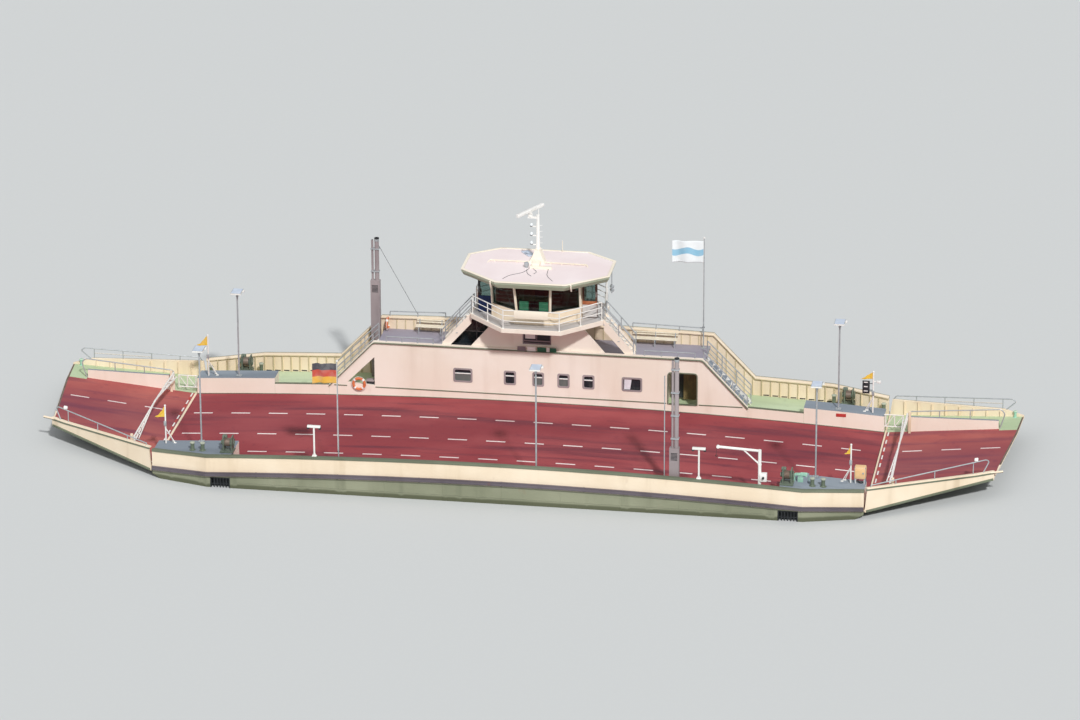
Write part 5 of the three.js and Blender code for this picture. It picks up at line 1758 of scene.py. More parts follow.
@dataclass
class Roof:
    """Wheelhouse roof with its edge band, pipes, fittings and whip aerial."""

    half: tuple = ((0.925, 0.87), (1.935, 1.70), (1.935, 2.87), (1.175, 3.43))
    top: float = 4.25
    mast: tuple[float, float] = (-0.06, 2.56)

    def build(self, frame: dict) -> None:
        """Dress the roof and add what lies on it.

        Args:
            frame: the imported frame, whose nodes are dressed.
        """
        dress(frame, Look.FASCIA, "wheelhouse_roof")
        self.covering()
        self.fittings()

    def covering(self) -> None:
        """Lay the pinkish covering and run the cream band round its edge."""
        cover = Piece("roof_covering", Look.ROOF)
        cover.add(prism(symmetric(self.half, 0.06), self.top + 0.0005, self.top + 0.005)).make()
        band = Piece("roof_edge_band", Look.ROOF_EDGE)
        path = [[x, y, self.top + 0.002] for x, y in symmetric(self.half, 0.02)]
        band.add(carried(corners(0.036, 0.014, 0.008, 3), path, joined=True)).make()

    def fittings(self) -> None:
        """Run two pipes from the mast's foot, and add ducts, a searchlight and the whip aerial."""
        piece = Piece("roof_pipes", Look.ROOF_EDGE, slot="roof_paint")
        z = self.top + 0.03
        x, y = self.mast
        for end, reach in ((-1, 1.3), (1, 1.24)):
            for dy in (0.0, 0.05):
                line = [[x + end * 0.1, y - 0.15 + dy, z], [end * reach, y - 0.18 + dy, z],
                        [end * (reach + 0.06), y - 0.3 + dy, z - 0.035]]
                piece.add(tube(line, 0.009, 8, 0.03))
            for k in range(4):
                at = end * (0.3 + 0.29 * k)
                piece.add(block((at - 0.01, y - 0.19, self.top), (at + 0.01, y - 0.08, z + 0.008)))
        piece.make()
        gear = Piece("roof_fittings", Look.ROOF_EDGE, slot="white_paint")
        base = [[-0.24, 0.0], [0.2, 0.0], [0.16, 0.12], [0.06, 0.36], [-0.06, 0.36], [-0.12, 0.2]]
        gear.add(prism(base, y - 0.18, y + 0.1, "Y").moved(x, 0, self.top + 0.002),
                 block((-0.185, 1.98, self.top), (0.386, 2.08, self.top + 0.06), 0.01, 2),
                 block((-0.16, 2.06, self.top), (0.05, 2.42, self.top + 0.12), 0.03, 2),
                 rod(0.46, 3.34, self.top, self.top + 0.32, 0.009, 8))
        gear.add(lathe([[0.05, 0.0], [0.05, 0.05], [0.065, 0.06], [0.065, 0.13], [0.04, 0.15]],
                             (x - 0.22, y - 0.5, self.top), 14), finish=Look.STEEL)
        panel = block((-0.5, 2.86, self.top + 0.01), (-0.3, 3.28, self.top + 0.03))
        dome = lathe([[0.06, 0.0], [0.06, 0.04], [0.04, 0.06]], (-0.2, 3.02, self.top), 14)
        gear.add(panel.turned(38, "Z", (-0.4, 3.07, 4.3)), dome, finish=Look.SKY_PANEL)
        for line in (((-0.755, 1.13), (-0.62, 1.42), (-0.3, 1.65), (-0.2, 1.98)),
                     ((0.3, 1.98), (0.33, 1.5), (0.546, 1.13)),
                     ((-0.248, 1.9), (-0.2, 1.6), (-0.056, 1.42)),
                     ((-0.1, 1.98), (0.05, 1.75), (-0.02, 1.6))):
            gear.add(tube([[*at, self.top + 0.008] for at in line], 0.006, 6, 0.15),
                     finish=Look.DARK)
        for cx in (-1.05, 1.05):
            gear.add(tube([[cx, 1.03, self.top - 0.2], [cx, 0.955, self.top - 0.1],
                           [cx, 0.935, self.top - 0.01]], 0.022, 8, 0.03))
        gear.make()


@dataclass
class Mast:
    """Mast with lights and brackets, and the radar scanner."""

    x: float = -0.06
    y: float = 2.56
    top: float = 5.54
    scanner: Point = (-0.26, 2.56, 5.6)
    length: float = 1.12
    angle: float = 63.0

    def build(self, frame: dict) -> None:
        """Dress the mast, add its gear and replace the scanner's plain bar.

        Args:
            frame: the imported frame, whose nodes are dressed.
        """
        dress(frame, Look.WHITE, "mast")
        gear = Piece("mast_lights", Look.WHITE)
        for z, depth in ((4.7, 0.06), (4.95, 0.055), (5.2, 0.05)):
            at = (self.x - 0.17, self.y, z + 0.024)
            gear.add(lathe([[0.03, 0], [0.034, 0.01], [0.034, depth], [0.02, depth + 0.02]], at,
                           14), finish=Look.LAMP)
            gear.add(lathe([[0.04, -0.006], [0.04, 0.004]], at, 14), finish=Look.DARK)
        for z in np.arange(4.45, 5.4, 0.16):
            gear.add(tube([[self.x + 0.04, self.y - 0.02, z], [self.x + 0.11, self.y - 0.02, z],
                           [self.x + 0.11, self.y + 0.02, z]], 0.006, 6))
        gear.add(rod(self.x + 0.02, self.y, self.top - 0.04, self.top + 0.16, 0.009, 8))
        gear.make()
        x, y, z = self.scanner
        bar = Piece("radar_bar", Look.PLAIN_WHITE, "radar")
        half = self.length / 2
        section = corners(0.045, 0.045, 0.02, 3)
        shape = np.insert(section, 0, 0, axis=1)
        xs = np.array([-half, -half + 0.012, half - 0.012, half])
        scale = np.array([0.8, 1, 1, 0.8])
        middles = np.stack([xs, 0 * xs, 0.045 + 0 * xs], -1)
        rings = shape[None] * scale[:, None, None] + middles[:, None]
        bar.add(skin(rings).moved(x, y, z).turned(self.angle, "Z", self.scanner))
        bar.add(lathe([[0.05, -0.045], [0.052, -0.03], [0.052, 0.0], [0.06, 0.004], [0.04, 0.01]],
                      self.scanner, 20))
        bar.make(replaces=("radar_scanner",))


@dataclass
class Uprights:
    """Exhausts and lamp posts."""

    def build(self, frame: dict) -> None:
        """Dress the nodes, cap the exhausts and detail the lamps.

        Args:
            frame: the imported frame, whose nodes are dressed.
        """
        dress(frame, Look.EXHAUST, "exhaust_near", "exhaust_far")
        dress(frame, Look.STEEL, "flagpole_near", "flagpole_far", "lamp_near_left",
              "lamp_near_right", "lamp_near_middle", "lamp_far_left", "lamp_far_right")
        self.exhausts()
        self.lamps()

    def exhausts(self) -> None:
        """Add rims, clamps, louvres and the guy wire."""
        piece = Piece("exhaust_fittings", Look.STEEL)
        for x, y, box_top, top, thin in ((4.395, -3.4, 1.7, 4.095, -0.1),
                                         (-4.49, 3.4, 3.18, 4.36, -0.12)):
            piece.add(lathe([[0.0605, -0.09], [0.063, -0.085], [0.063, -0.012], [0.06, -0.004]],
                            (x, y, top), 20))
            piece.add(lathe([[0.0595, -0.03], [0.0635, -0.025], [0.0635, 0.004], [0.05, 0.01]],
                            (x, y, top), 20), finish=Look.RUBBER)
            piece.add(lathe([[0.024, 0.0], [0.022, 0.005]], (x + thin, y, top - 0.06), 14),
                      finish=Look.RUBBER)
            for z in np.linspace(box_top + 0.25, top - 0.3, 4 if top - box_top > 2 else 2):
                piece.add(block((x + thin - 0.04, y - 0.07, z - 0.015),
                                (x + 0.07, y + 0.07, z + 0.015), 0.01, 2))
            for row in range(6):
                z = box_top - 0.14 - row * 0.035
                piece.add(block((x - 0.13, y - 0.088, z), (x + 0.035, y - 0.079, z + 0.016), 0.003),
                          finish=Look.DARK)
        piece.add(tube([[-4.49, 3.4, 4.25], [-3.47, 3.625, 2.21]], 0.005, 6), finish=Look.DARK)
        piece.add(rod(4.1, -3.45, LINES.deck(4.1) + 0.01, 3.63, 0.014, 8))
        piece.make()

    def lamps(self) -> None:
        """Add each lamp's lens, bracket, gussets and cable box."""
        piece = Piece("lamp_fittings", Look.STEEL)
        posts = ((-7.955, -2.56, 3.32), (7.81, -2.56, 3.29), (0.85, -3.44, 3.67),
                 (-7.985, 2.11, 3.15), (7.884, 2.11, 3.2))
        for x, y, top in posts:
            for half, low, high, finish in (((0.1365, 0.1915), -0.047, -0.004, Look.WHITE),
                                            ((0.122, 0.177), -0.005, 0.006, Look.SKY_PANEL),
                                            ((0.11, 0.165), -0.052, -0.046, Look.LAMP)):
                piece.add(block((x - half[0], y - half[1], top + low),
                                (x + half[0], y + half[1], top + high), 0.004), finish=finish)
            piece.add(block((x + 0.135, y + 0.02, top - 0.04), (x + 0.18, y + 0.13, top), 0.008, 2),
                      finish=Look.WHITE)
            piece.add(lathe([[0.034, -0.16], [0.034, -0.05]], (x, y, top), 12))
        piece.make()


@dataclass(frozen=True)
class Flag:
    """A cloth that flies from its hoist, worked out as a wave that grows towards the fly."""

    name: str
    finish: Look
    hoist: Point
    height: float
    length: float
    swing: float = 0.0
    wave: float = 0.05
    turns: float = 1.6
    droop: float = 0.06
    phase: float = 0.4
    taper: float = 0.0

    def points(self, across: int = 40, up: int = 24) -> Array:
        """Return the grid: x runs from the hoist, y waves, and the fly end droops.

        The wave is a sine of the way along, larger towards the fly, whose phase moves with the
        height. The way along is then shortened until each row is as long as the cloth.

        Args:
            across: how many points run from the hoist to the fly.
            up: how many points run from the foot to the head.

        Returns:
            The points, as [row, column, axis].
        """
        s = np.linspace(0, 1, across)[None, :]
        t = np.linspace(0, 1, up)[:, None]
        phase = 2 * math.pi * (self.turns * s - 0.15 * t) + self.phase
        y = self.wave * (0.15 + 0.85 * s) * np.sin(phase) * np.minimum(1, s * 4)
        y = y + self.swing * s * self.length
        z = t * self.height * (1 - self.taper * s) - self.droop * s ** 2 * self.length
        z = z + 0.006 * np.sin(2 * phase) * s
        step = self.length / (across - 1)
        dy, dz = np.diff(y, axis=1), np.diff(z, axis=1)
        dx = np.sqrt(np.maximum(step ** 2 - dy ** 2 - dz ** 2, (0.3 * step) ** 2))
        x = np.concatenate([np.zeros((up, 1)), np.cumsum(dx, axis=1)], axis=1)
        return np.stack([-x, y, z], -1) + np.asarray(self.hoist)

    def hang(self, *replaces: str) -> None:
        """Args:
            replaces: nodes of the frame that the cloth stands for.
        """
        grid = self.points()
        up, across, _ = grid.shape
        i, j = np.meshgrid(np.arange(up - 1), np.arange(across - 1), indexing="ij")
        quads = np.stack([i * across + j, i * across + j + 1, (i + 1) * across + j + 1,
                          (i + 1) * across + j], -1).reshape(-1, 4)
        mesh = bpy.data.meshes.new(self.name)
        mesh.from_pydata(grid.reshape(-1, 3).tolist(), [], quads.tolist())
        flat = np.stack(np.meshgrid(np.linspace(0, 1, across), np.linspace(0, 1, up)),
                        -1).reshape(-1, 2)
        mesh.uv_layers.new(name="cut").data.foreach_set("uv", flat[quads.ravel()].ravel())
        mesh.shade_smooth()
        mesh.materials.append(self.finish.value.material())
        cloth = stand(self.name, mesh)
        thick = cloth.modifiers.new("Thickness", "SOLIDIFY")
        thick.thickness = 0.0012
        thick.offset = 0.0
        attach(cloth, "boat")
        if replaces:
            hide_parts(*replaces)
        LOG.info("%s: cloth of %.2f by %.2f m", self.name, self.length, self.height)


@dataclass
class Flags:
    """The two flags on their poles."""

    def build(self) -> None:
        """Hang both flags and add the halyards and trucks."""
        Flag("flag_cloth_near", Look.TRICOLOUR, (-4.225, -3.44, 2.93), 0.53, 0.66, 0.02,
             0.045).hang("flag_near")
        Flag("flag_cloth_far", Look.PALE_FLAG, (4.16, 3.43, 4.13), 0.59, 0.85, -0.02, 0.05, 1.5,
             0.03).hang("flag_far")
        piece = Piece("flagpole_fittings", Look.WHITE)
        for x, y, low, top in ((-4.21, -3.44, 0.6, 3.53), (4.175, 3.43, 1.85, 4.815)):
            piece.add(lathe([[0.025, -0.012], [0.03, 0.005], [0.028, 0.02], [0.012, 0.03]],
                            (x, y, top), 14))
            piece.add(tube([[x - 0.02, y, low + 0.5], [x - 0.016, y, top - 0.01]], 0.003, 6))
            piece.add(block((x - 0.03, y - 0.012, low + 0.47), (x + 0.03, y + 0.012, low + 0.5)),
                      finish=Look.DARK)
        piece.make()


@dataclass
class SignalPosts:
    """Signal posts on struts with their pennants, the light board and the camera."""

    posts: tuple = (("near_left", -8.85, -2.71, 1.77, 0.3, 0.28),
                    ("near_right", 8.71, -2.71, 1.77, 0.24, 0.18),
                    ("far_left", -8.8, 2.09, 1.87, 0.27, 0.31),
                    ("far_right", 8.78, 2.09, 1.87, 0.18, 0.31))

    def build(self) -> None:
        """Replace each post by round tubes, a box and a cloth pennant."""
        for name, x, y, top, height, length in self.posts:
            inward = -np.sign(x)
            z = LINES.platform(abs(x) - 0.25) + 0.002
            piece = Piece(f"signal_mast_{name}", Look.WHITE)
            piece.add(rod(x, y, z, top, 0.02, 12))
            for dx, dy in ((0.22, 0.06), (0.16, 0.15)):
                piece.add(tube([[x + inward * dx, y + dy, z], [x, y, z + 0.42]], 0.012, 8))
                piece.add(block((x + inward * dx - 0.035, y + dy - 0.03, z - 0.004),
                                (x + inward * dx + 0.035, y + dy + 0.03, z + 0.008)))
            piece.add(lathe([[0.026, -0.015], [0.026, 0.01], [0.012, 0.02]], (x, y, top), 12))
            piece.add(block((x - 0.035, y - 0.06, z + 0.5), (x + 0.035, y - 0.018, z + 0.62), 0.008,
                            2), finish=Look.STEEL)
            piece.make(replaces=(f"signal_post_{name}",))
            Flag(f"pennant_{name}", Look.YELLOW_CLOTH, (x - 0.02, y, top - height - 0.02), height,
                 length, 0.03, 0.02, 1.2, 0.1, taper=0.8).hang()
        gear = Piece("signal_gear", Look.DARK, slot="white_paint")
        gear.add(block((8.5, 2.06, 1.27), (8.69, 2.09, 1.62), 0.01, 2),
                 tube([[8.78, 2.09, 1.36], [8.66, 2.085, 1.36]], 0.01, 6),
                 tube([[8.78, 2.09, 1.54], [8.66, 2.085, 1.54]], 0.01, 6))
        for z in (1.34, 1.46, 1.58):
            gear.add(block((8.54, 2.054, z - 0.014), (8.64, 2.061, z + 0.014), 0.004),
                     finish=Look.PLAIN_WHITE)
        gear.add(tube([[8.78, 2.09, 1.6], [8.9, 2.07, 1.61]], 0.012, 8),
                 block((8.87, 2.0, 1.585), (8.98, 2.1, 1.645), 0.015, 2), finish=Look.PLAIN_WHITE)
        gear.make()


@dataclass
class Winches:
    """Mooring winches: frame, drum with its rope, gearbox and brake wheel."""

    places: tuple = (("near_left", -7.13, -3.2), ("near_right", 7.16, -3.2),
                     ("far_left", -8.03, 3.2), ("far_right", 8.03, 3.2))
    pedestal: float = 0.19

    def build(self, frame: dict) -> None:
        """Dress the winches and add their rope turns, wheel and motor.

        Args:
            frame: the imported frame, whose nodes are dressed.
        """
        for name, x, y in self.places:
            dress(frame, Look.WINCH, f"winch_{name}")
            inner_x = abs(x) - 0.17
            floor = LINES.platform(inner_x) if y < 0 else LINES.deck(inner_x) + self.pedestal
            z = floor + 0.2423
            piece = Piece(f"winch_gear_{name}", Look.WINCH)
            turns = np.arange(10)
            wavy = [[0.107 + 0.006 * (k % 2), -0.07 + 0.0155 * k] for k in turns]
            piece.add(lathe(wavy, (x + 0.005, y, z), 24, "X"), finish=Look.WORN_STEEL)
            for dx in (-0.1, 0.13):
                piece.add(lathe([[0.14, dx - 0.006], [0.145, dx], [0.14, dx + 0.006]], (x, y, z),
                                24, "X"))
            piece.add(hoop((x + 0.165, y, z), 0.1, 0.01, "X", 20),
                      tube([[x + 0.165, y - 0.1, z], [x + 0.165, y + 0.1, z]], 0.007, 6),
                      rod(x + 0.165, y, z - 0.1, z + 0.1, 0.007, 6))
            piece.add(lathe([[0.05, -0.13], [0.062, -0.12], [0.062, -0.02], [0.05, -0.01]],
                                  (x - 0.02, y + 0.11, z + 0.1), 16, "X"))
            piece.make()


@dataclass
class Davit:
    """The boat davit with its winch box, hook and wire."""

    x: float = 6.495
    y: float = -3.4
    top: float = 1.77
    reach: float = 1.05

    def build(self, frame: dict) -> None:
        """Dress the crane and add its box, sheave, wire and hook.

        Args:
            frame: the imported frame, whose nodes are dressed.
        """
        dress(frame, Look.WHITE, "davit", "davit_socket")
        piece = Piece("davit_gear", Look.WHITE, "davit")
        tip = self.x - self.reach
        piece.add(lathe([[0.04, -0.03], [0.045, -0.02], [0.045, 0.02], [0.04, 0.03]],
                              (tip, self.y, self.top + 0.02), 16, "Y"))
        piece.add(block((self.x + 0.015, self.y - 0.074, self.top - 0.835),
                        (self.x + 0.185, self.y + 0.074, self.top - 0.625), 0.012, 2))
        piece.add(lathe([[0.03, 0.0], [0.03, 0.05], [0.02, 0.06]],
                        (self.x + 0.1, self.y - 0.13, self.top - 0.72), 12, "Y"), finish=Look.DARK)
        piece.add(rod(tip - 0.04, self.y, self.top + 0.02, self.top - 0.2, 0.004, 6),
                  finish=Look.DARK)
        piece.add(hoop((tip - 0.04, self.y, self.top - 0.225), 0.022, 0.007, "Y", 16),
                  finish=Look.DARK)
        piece.add(lathe([[0.05, -0.012], [0.05, 0.012]], (self.x, self.y, self.top - 0.4), 14))
        piece.make()


@dataclass
class Ramps:
    """End ramps: deck paint, walkway, cap rails, railings, the striped edge by the hinge and
    lights.
    """

    axis_x: float = 9.13
    deck_low: float = 0.25
    rise: float = 0.0926
    near: tuple = ((9.13, -3.255), (12.2, -1.325))
    far: tuple = ((9.13, 3.255), (12.65, 2.835))
    lip: tuple = ((12.31, -0.495), (12.565, 1.64))
    wall_x: tuple[float, float] = (9.7, 12.05)
    girder: float = 0.08

    def height(self, x: Array | float) -> Array:
        """Return the top of the ramp's plate, a straight slope."""
        return self.deck_low + (np.abs(x) - self.axis_x) * self.rise

    def edge(self, line: tuple, x: float) -> float:
        """Return y on a straight edge at x."""
        (x0, y0), (x1, y1) = line
        return y0 + (y1 - y0) * (x - x0) / (x1 - x0)

    def build(self, frame: dict) -> None:
        """Dress both ramps and add their skins and fittings.

        Args:
            frame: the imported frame, whose nodes are dressed.
        """
        dress(frame, Look.RAMP_SIDE, "ramp_left", "ramp_right")
        for end in ENDS:
            self.skins(end)
            self.caps(end)
            self.rails(end)
            self.stripes(end)

    def beside(self, line: tuple, points: tuple | list, out: float, lift: float = 0.0) -> list:
        """Return a path from [x, z] points, `out` in Y from a straight edge and lifted."""
        return [[x, self.edge(line, x) + out, z + lift] for x, z in points]

    def film(self, outline: list, lift: float = 0.0004, thickness: float = 0.003) -> Shell:
        """Lay a thin skin on the sloping plate.

        Args:
            outline: points [x, y].
            lift: from the plate to the skin's underside.
            thickness: how thick it is.

        Returns:
            The skin.
        """
        flat = np.asarray(outline, float)
        z = self.height(flat[:, 0]) + lift
        rings = np.stack([np.column_stack([flat, z]), np.column_stack([flat, z + thickness])])
        return skin(rings)

    def skins(self, end: str) -> None:
        """Lay the red lane, its marks, the green walkway and the worn tip.

        Args:
            end: the end of the boat, left or right.
        """
        body = f"ramp_{end}"
        near_y = self.edge(self.near, 9.16) + self.girder + 0.002
        wall = LINES.wall_y - 0.002
        (lip_x0, lip_y0), (lip_x1, lip_y1) = self.lip
        far_x, far_y = self.far[1]
        tip_x = lip_x1 + (wall - lip_y1) / (far_y - lip_y1) * (far_x - lip_x1)
        lane = [[9.16, near_y], [12.16, self.edge(self.near, 12.16) + self.girder], [12.2, -1.24],
                [lip_x0 - 0.05, lip_y0], [lip_x1 - 0.05, lip_y1], [tip_x - 0.05, wall],
                [9.16, wall]]
        red = Piece(f"ramp_lane_{end}", Look.RED_RAMP, body, end=end)
        red.add(self.film(lane))
        dashes = [self.dash(x) for x in (9.95, 10.95, 11.95)]
        red.add(*dashes, finish=Look.LANE_WHITE)
        red.make()
        far_in = [[x, self.edge(self.far, x) - 0.063] for x in (9.16, 12.6)]
        walk = [[9.16, wall + 0.004], [9.68, wall + 0.004], [9.68, wall + 0.046],
                [12.07, wall + 0.046], [12.07, wall - 0.1], [tip_x - 0.06, wall - 0.1], far_in[1],
                far_in[0]]
        green = Piece(f"ramp_walkway_{end}", Look.GREEN_DECK, body, end=end)
        green.add(self.film(walk, 0.0036)).make()
        worn = [[lip_x0 - 0.05, lip_y0], [lip_x0 - 0.004, lip_y0], [lip_x1 - 0.004, lip_y1],
                [far_x - 0.01, far_y - 0.07], [far_x - 0.06, far_y - 0.07], [lip_x1 - 0.05, lip_y1]]
        edge = Piece(f"ramp_tip_{end}", Look.WORN_STEEL, body, end=end)
        edge.add(self.film(worn, 0.001, 0.004)).make()

    def dash(self, x: float) -> Shell:
        """Return one lane dash on the ramp.

        Args:
            x: where along the boat, in metres.

        Returns:
            The dash.
        """
        y = 0.575 + (x - self.axis_x) * 0.03
        return self.film([[x - 0.25, y - 0.027], [x + 0.25, y - 0.012], [x + 0.25, y + 0.042],
                          [x - 0.25, y + 0.027]], 0.0036, 0.002)

    def caps(self, end: str) -> None:
        """Run the olive caps along both girders and the inner wall's top.

        Args:
            end: the end of the boat, left or right.
        """
        near_top = [[9.16, 0.823], [11.79, 0.693], [12.19, 0.693]]
        cream_cap = carried(corners(0.05, 0.022, 0.008, 2),
                            self.beside(self.near, near_top, 0.04, -0.016))
        low = [[x, self.height(x)] for x in (9.16, 12.18)]
        shells = [carried(corners(0.006, 0.024, 0.004, 1),
                          self.beside(self.near, near_top, -0.012, -0.04)),
                  carried(corners(0.012, 0.032, 0.006, 1),
                          self.beside(self.near, low, -0.002, -0.05))]
        piece = Piece(f"ramp_cap_rails_{end}", Look.OLIVE_TRIM, f"ramp_{end}", end=end)
        piece.add(*shells)
        piece.add(cream_cap, finish=Look.RAMP_SIDE)
        w0, w1 = self.wall_x
        far_z = ((9.2, 0.692), (12.14, 0.733))
        path = self.beside(self.far, far_z, -0.03, -0.008)
        piece.add(carried(corners(0.034, 0.013, 0.008, 2), path), finish=Look.CREAM)
        path = self.beside(self.far, far_z, 0.003)
        piece.add(carried(corners(0.004, 0.008, 0.003, 1), path))
        wall_cap = carried(corners(0.024, 0.009, 0.006, 2),
                           [[w0, LINES.wall_y + 0.02, 0.722], [w1, LINES.wall_y + 0.02, 0.756]])
        piece.add(wall_cap, finish=Look.GREY_DECK)
        lane_side = [[w0, self.height(w0) + 0.004], [w1, self.height(w1) + 0.004], [w1, 0.75],
                     [w0, 0.716]]
        cover = prism(lane_side, LINES.wall_y - 0.004, LINES.wall_y - 0.0005, "Y")
        piece.add(cover, finish=Look.WALL)
        piece.make()

    def rails(self, end: str) -> None:
        """Sheathe the railings and add the spotlight at the near one's end.

        Args:
            end: the end of the boat, left or right.
        """
        shells = []
        rail, post_radius = Railing.rail_radius, Railing.post_radius
        foot = {x: self.edge(self.near, x) + 0.05 for x in (9.26, 9.85, 10.77, 11.69)}
        top = {x: 0.87 + (x - 9.26) / 2.5 * 0.145 for x in foot}
        loop = self.beside(self.near, ((12.0, 1.03), (12.07, 0.97), (11.93, 0.69)), 0.05)
        shells.append(tube([[x, foot[x], top[x]] for x in foot] + loop, rail, 10, 0.05))
        for x in foot:
            shells.append(tube([[x, foot[x], 0.65], [x, foot[x], top[x]]], post_radius, 8))

        low = self.height(12.43)
        outer = ((9.215, 0.69), (9.29, 0.795), (12.343, 1.027), (12.43, 0.957), (12.18, 0.722))
        bars = [(outer, rail, 10, 0.03), (((10.566, 0.785), (12.086, 0.88)), Railing.bar_radius, 8),
                (((12.12, 0.725), (12.43, low + 0.005)), rail, 10)]
        bars += [(((x, 0.68), (x, 0.795 + (x - 9.29) * 0.076)), post_radius, 8)
                 for x in (9.816, 10.566, 11.326, 12.086)]
        shells += [tube(self.beside(self.far, points, -0.03), *size) for points, *size in bars]
        y = LINES.wall_y + 0.02
        inner = ((9.73, 0.7), (9.73, 0.86), (12.11, 1.058), (12.21, 0.94),
                 (12.08, self.height(12.08) - 0.005))
        shells.append(tube([[x, y, z] for x, z in inner], rail, 10, 0.05))
        shells += [rod(x, y, 0.72, 0.86 + (x - 9.73) * 0.083, post_radius, 8)
                   for x in (10.52, 11.31)]
        piece = Piece(f"ramp_railings_{end}", Look.STEEL, f"ramp_{end}", end=end)
        piece.add(*shells)
        light = lathe([[0.03, -0.05], [0.045, -0.04], [0.055, 0.03], [0.05, 0.045]],
                            (11.76, foot[11.69] + 0.044, top[11.69] + 0.064), 14, "X")
        piece.add(light, finish=Look.PLAIN_WHITE)
        post = [[0.055, -0.002], [0.055, 0.008], [0.0335, 0.02], [0.0335, 0.148], [0.054, 0.152],
                [0.056, 0.176], [0.04, 0.186]]
        bollard = lathe(post, (12.42, 2.76, self.height(12.42)), 16)
        piece.add(bollard, finish=Look.MINT)
        piece.make()

    def stripes(self, end: str) -> None:
        """Paint the striped bar across the ramp beside its hinge.

        Args:
            end: the end of the boat, left or right.
        """
        piece = Piece(f"ramp_stripes_{end}", Look.RED, f"ramp_{end}", end=end)
        near_y, far_y = -3.08, 1.96
        count = 19
        width = (far_y - near_y) / count
        for number in range(count):
            y0 = near_y + number * width
            bar = [[9.2, y0], [9.235, y0], [9.235, y0 + width * 0.98], [9.2, y0 + width * 0.98]]
            finish = Look.RED if number % 2 else Look.PLAIN_WHITE
            piece.add(self.film(bar, 0.003, 0.006), finish=finish)
        piece.make()


@dataclass
class Barriers:
    """Barrier arms with their braces, and the frames that carry them."""

    x: float = 9.7
    pivot_z: float = 0.78
    feet: tuple = (("near", -2.6367, -0.32), ("far", 1.875, -0.28))

    def build(self, frame: dict) -> None:
        """Dress the arms and add braces, end caps and pivots.

        Args:
            frame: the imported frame, whose nodes are dressed.
        """
        for end in ENDS:
            for side, foot, tip in self.feet:
                node = f"barrier_{side}_{end}"
                dress(frame, Look.WHITE, node)
                piece = Piece(f"barrier_braces_{side}_{end}", Look.WHITE, node, end=end)
                way = np.sign(tip - foot)
                shells = []
                for share in (0.12, 0.26, 0.42, 0.6):
                    y = foot + way * 0.03 + (tip - foot - way * 0.03) * share
                    low = self.pivot_z - 0.09 + 0.2 * share
                    high = self.pivot_z + 0.06 + 0.05 * share
                    shells.append(rod(self.x, y, low, high, 0.012, 8))
                    shells.append(tube([[self.x - 0.1 * (1 - share), y, low + 0.06],
                                        [self.x, y + way * 0.12, high - 0.03]], 0.012, 8))
                chord = [[self.x - 0.1, foot + way * 0.08, self.pivot_z - 0.02],
                         [self.x, tip - way * 0.1, self.pivot_z + 0.11]]
                shells.append(tube(chord, 0.016, 8))
                shells.append(lathe([[0.026, -0.02], [0.028, 0.0], [0.026, 0.02]],
                                    (self.x, tip - way * 0.012, self.pivot_z + 0.11), 12, "Y"))
                shells.append(lathe([[0.05, -0.028], [0.05, -0.022]],
                                    (self.x, foot + way * 0.02, self.pivot_z), 16, "X"))
                piece.add(*shells).make()


# Floor, light and camera

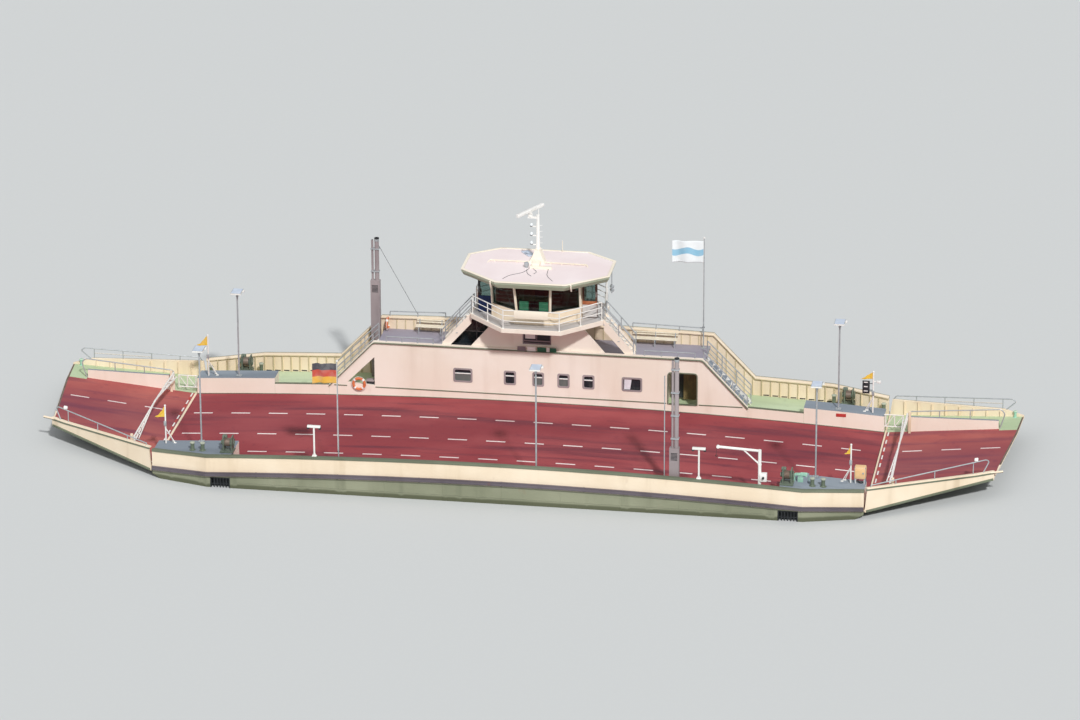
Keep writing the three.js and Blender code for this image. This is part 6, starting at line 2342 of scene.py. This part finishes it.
@dataclass
class Studio:
    """Pale floor at the waterline, soft light and the camera."""

    eye: Point = (20.617, -124.169, 51.344)
    azimuth: float = 9.249
    elevation: float = 21.215
    roll: float = -0.22
    lens: float = 175.42
    floor_half: float = 400.0
    floor_tone: str = "cdcfce"

    def build(self) -> None:
        """Make the floor, the lights and the camera, and show colours as they are."""
        bpy.context.scene.view_settings.view_transform = "Standard"
        self.floor()
        self.lights()
        self.camera()

    def floor(self) -> None:
        """Lay the floor as one large plate just below the waterline."""
        half = self.floor_half
        mesh = bpy.data.meshes.new("studio_floor")
        mesh.from_pydata([(-half, -half, 0), (half, -half, 0), (half, half, 0), (-half, half, 0)],
                         [], [(0, 1, 2, 3)])
        floor = stand("studio_floor", mesh)
        paper = Plastic("studio_floor_paper", self.floor_tone, self.floor_tone, 0.9, 0.0)
        mesh.materials.append(paper.material())

    def lights(self) -> None:
        """Light from a pale sky and two broad suns."""
        world = bpy.data.worlds.new("studio")
        world.use_nodes = True
        background = world.node_tree.nodes["Background"]
        background.inputs["Color"].default_value = linear("eef1f5")
        background.inputs["Strength"].default_value = 0.5
        bpy.context.scene.world = world
        for name, turn, strength, spread in (("key", (48, 0, 25), 2.65, 4),
                                             ("fill", (58, 0, -60), 0.3, 40)):
            lamp = bpy.data.lights.new(name, "SUN")
            lamp.energy = strength
            lamp.angle = math.radians(spread)
            stand(name, lamp).rotation_euler = [math.radians(value) for value in turn]

    def camera(self) -> None:
        """Place the camera on the photograph's line of sight, rolled as it is there."""
        az, el, roll = (math.radians(v) for v in (self.azimuth, self.elevation, self.roll))
        back = Vector((math.sin(az) * math.cos(el), -math.cos(az) * math.cos(el), math.sin(el)))
        level = Vector((math.cos(az), math.sin(az), 0))
        upright = back.cross(level)
        right = level * math.cos(roll) + upright * math.sin(roll)
        up = back.cross(right)
        lens = bpy.data.cameras.new("camera")
        lens.lens = self.lens
        lens.sensor_width = 36.0
        lens.sensor_fit = "HORIZONTAL"
        lens.clip_start, lens.clip_end = 1.0, 2000.0
        camera = stand("camera", lens)
        turn = Matrix((right, up, back)).transposed().to_4x4()
        camera.matrix_world = Matrix.Translation(Vector(self.eye)) @ turn
        bpy.context.scene.camera = camera


def main() -> None:
    """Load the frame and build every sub-assembly."""
    logging.basicConfig(level=logging.INFO, format="%(message)s")
    for old in list(bpy.data.objects):
        bpy.data.objects.remove(old)
    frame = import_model()
    Studio().build()
    for part in (Hull(), CarDeck(), Bulwarks(), Platforms(), Deckhouse(), UpperDeck(), Tower(),
                 Wheelhouse(), Roof(), Mast(), Uprights(), Winches(), Davit(), Ramps(), Barriers()):
        part.build(frame)
    Flags().build()
    SignalPosts().build()


if __name__ == "__main__":
    main()
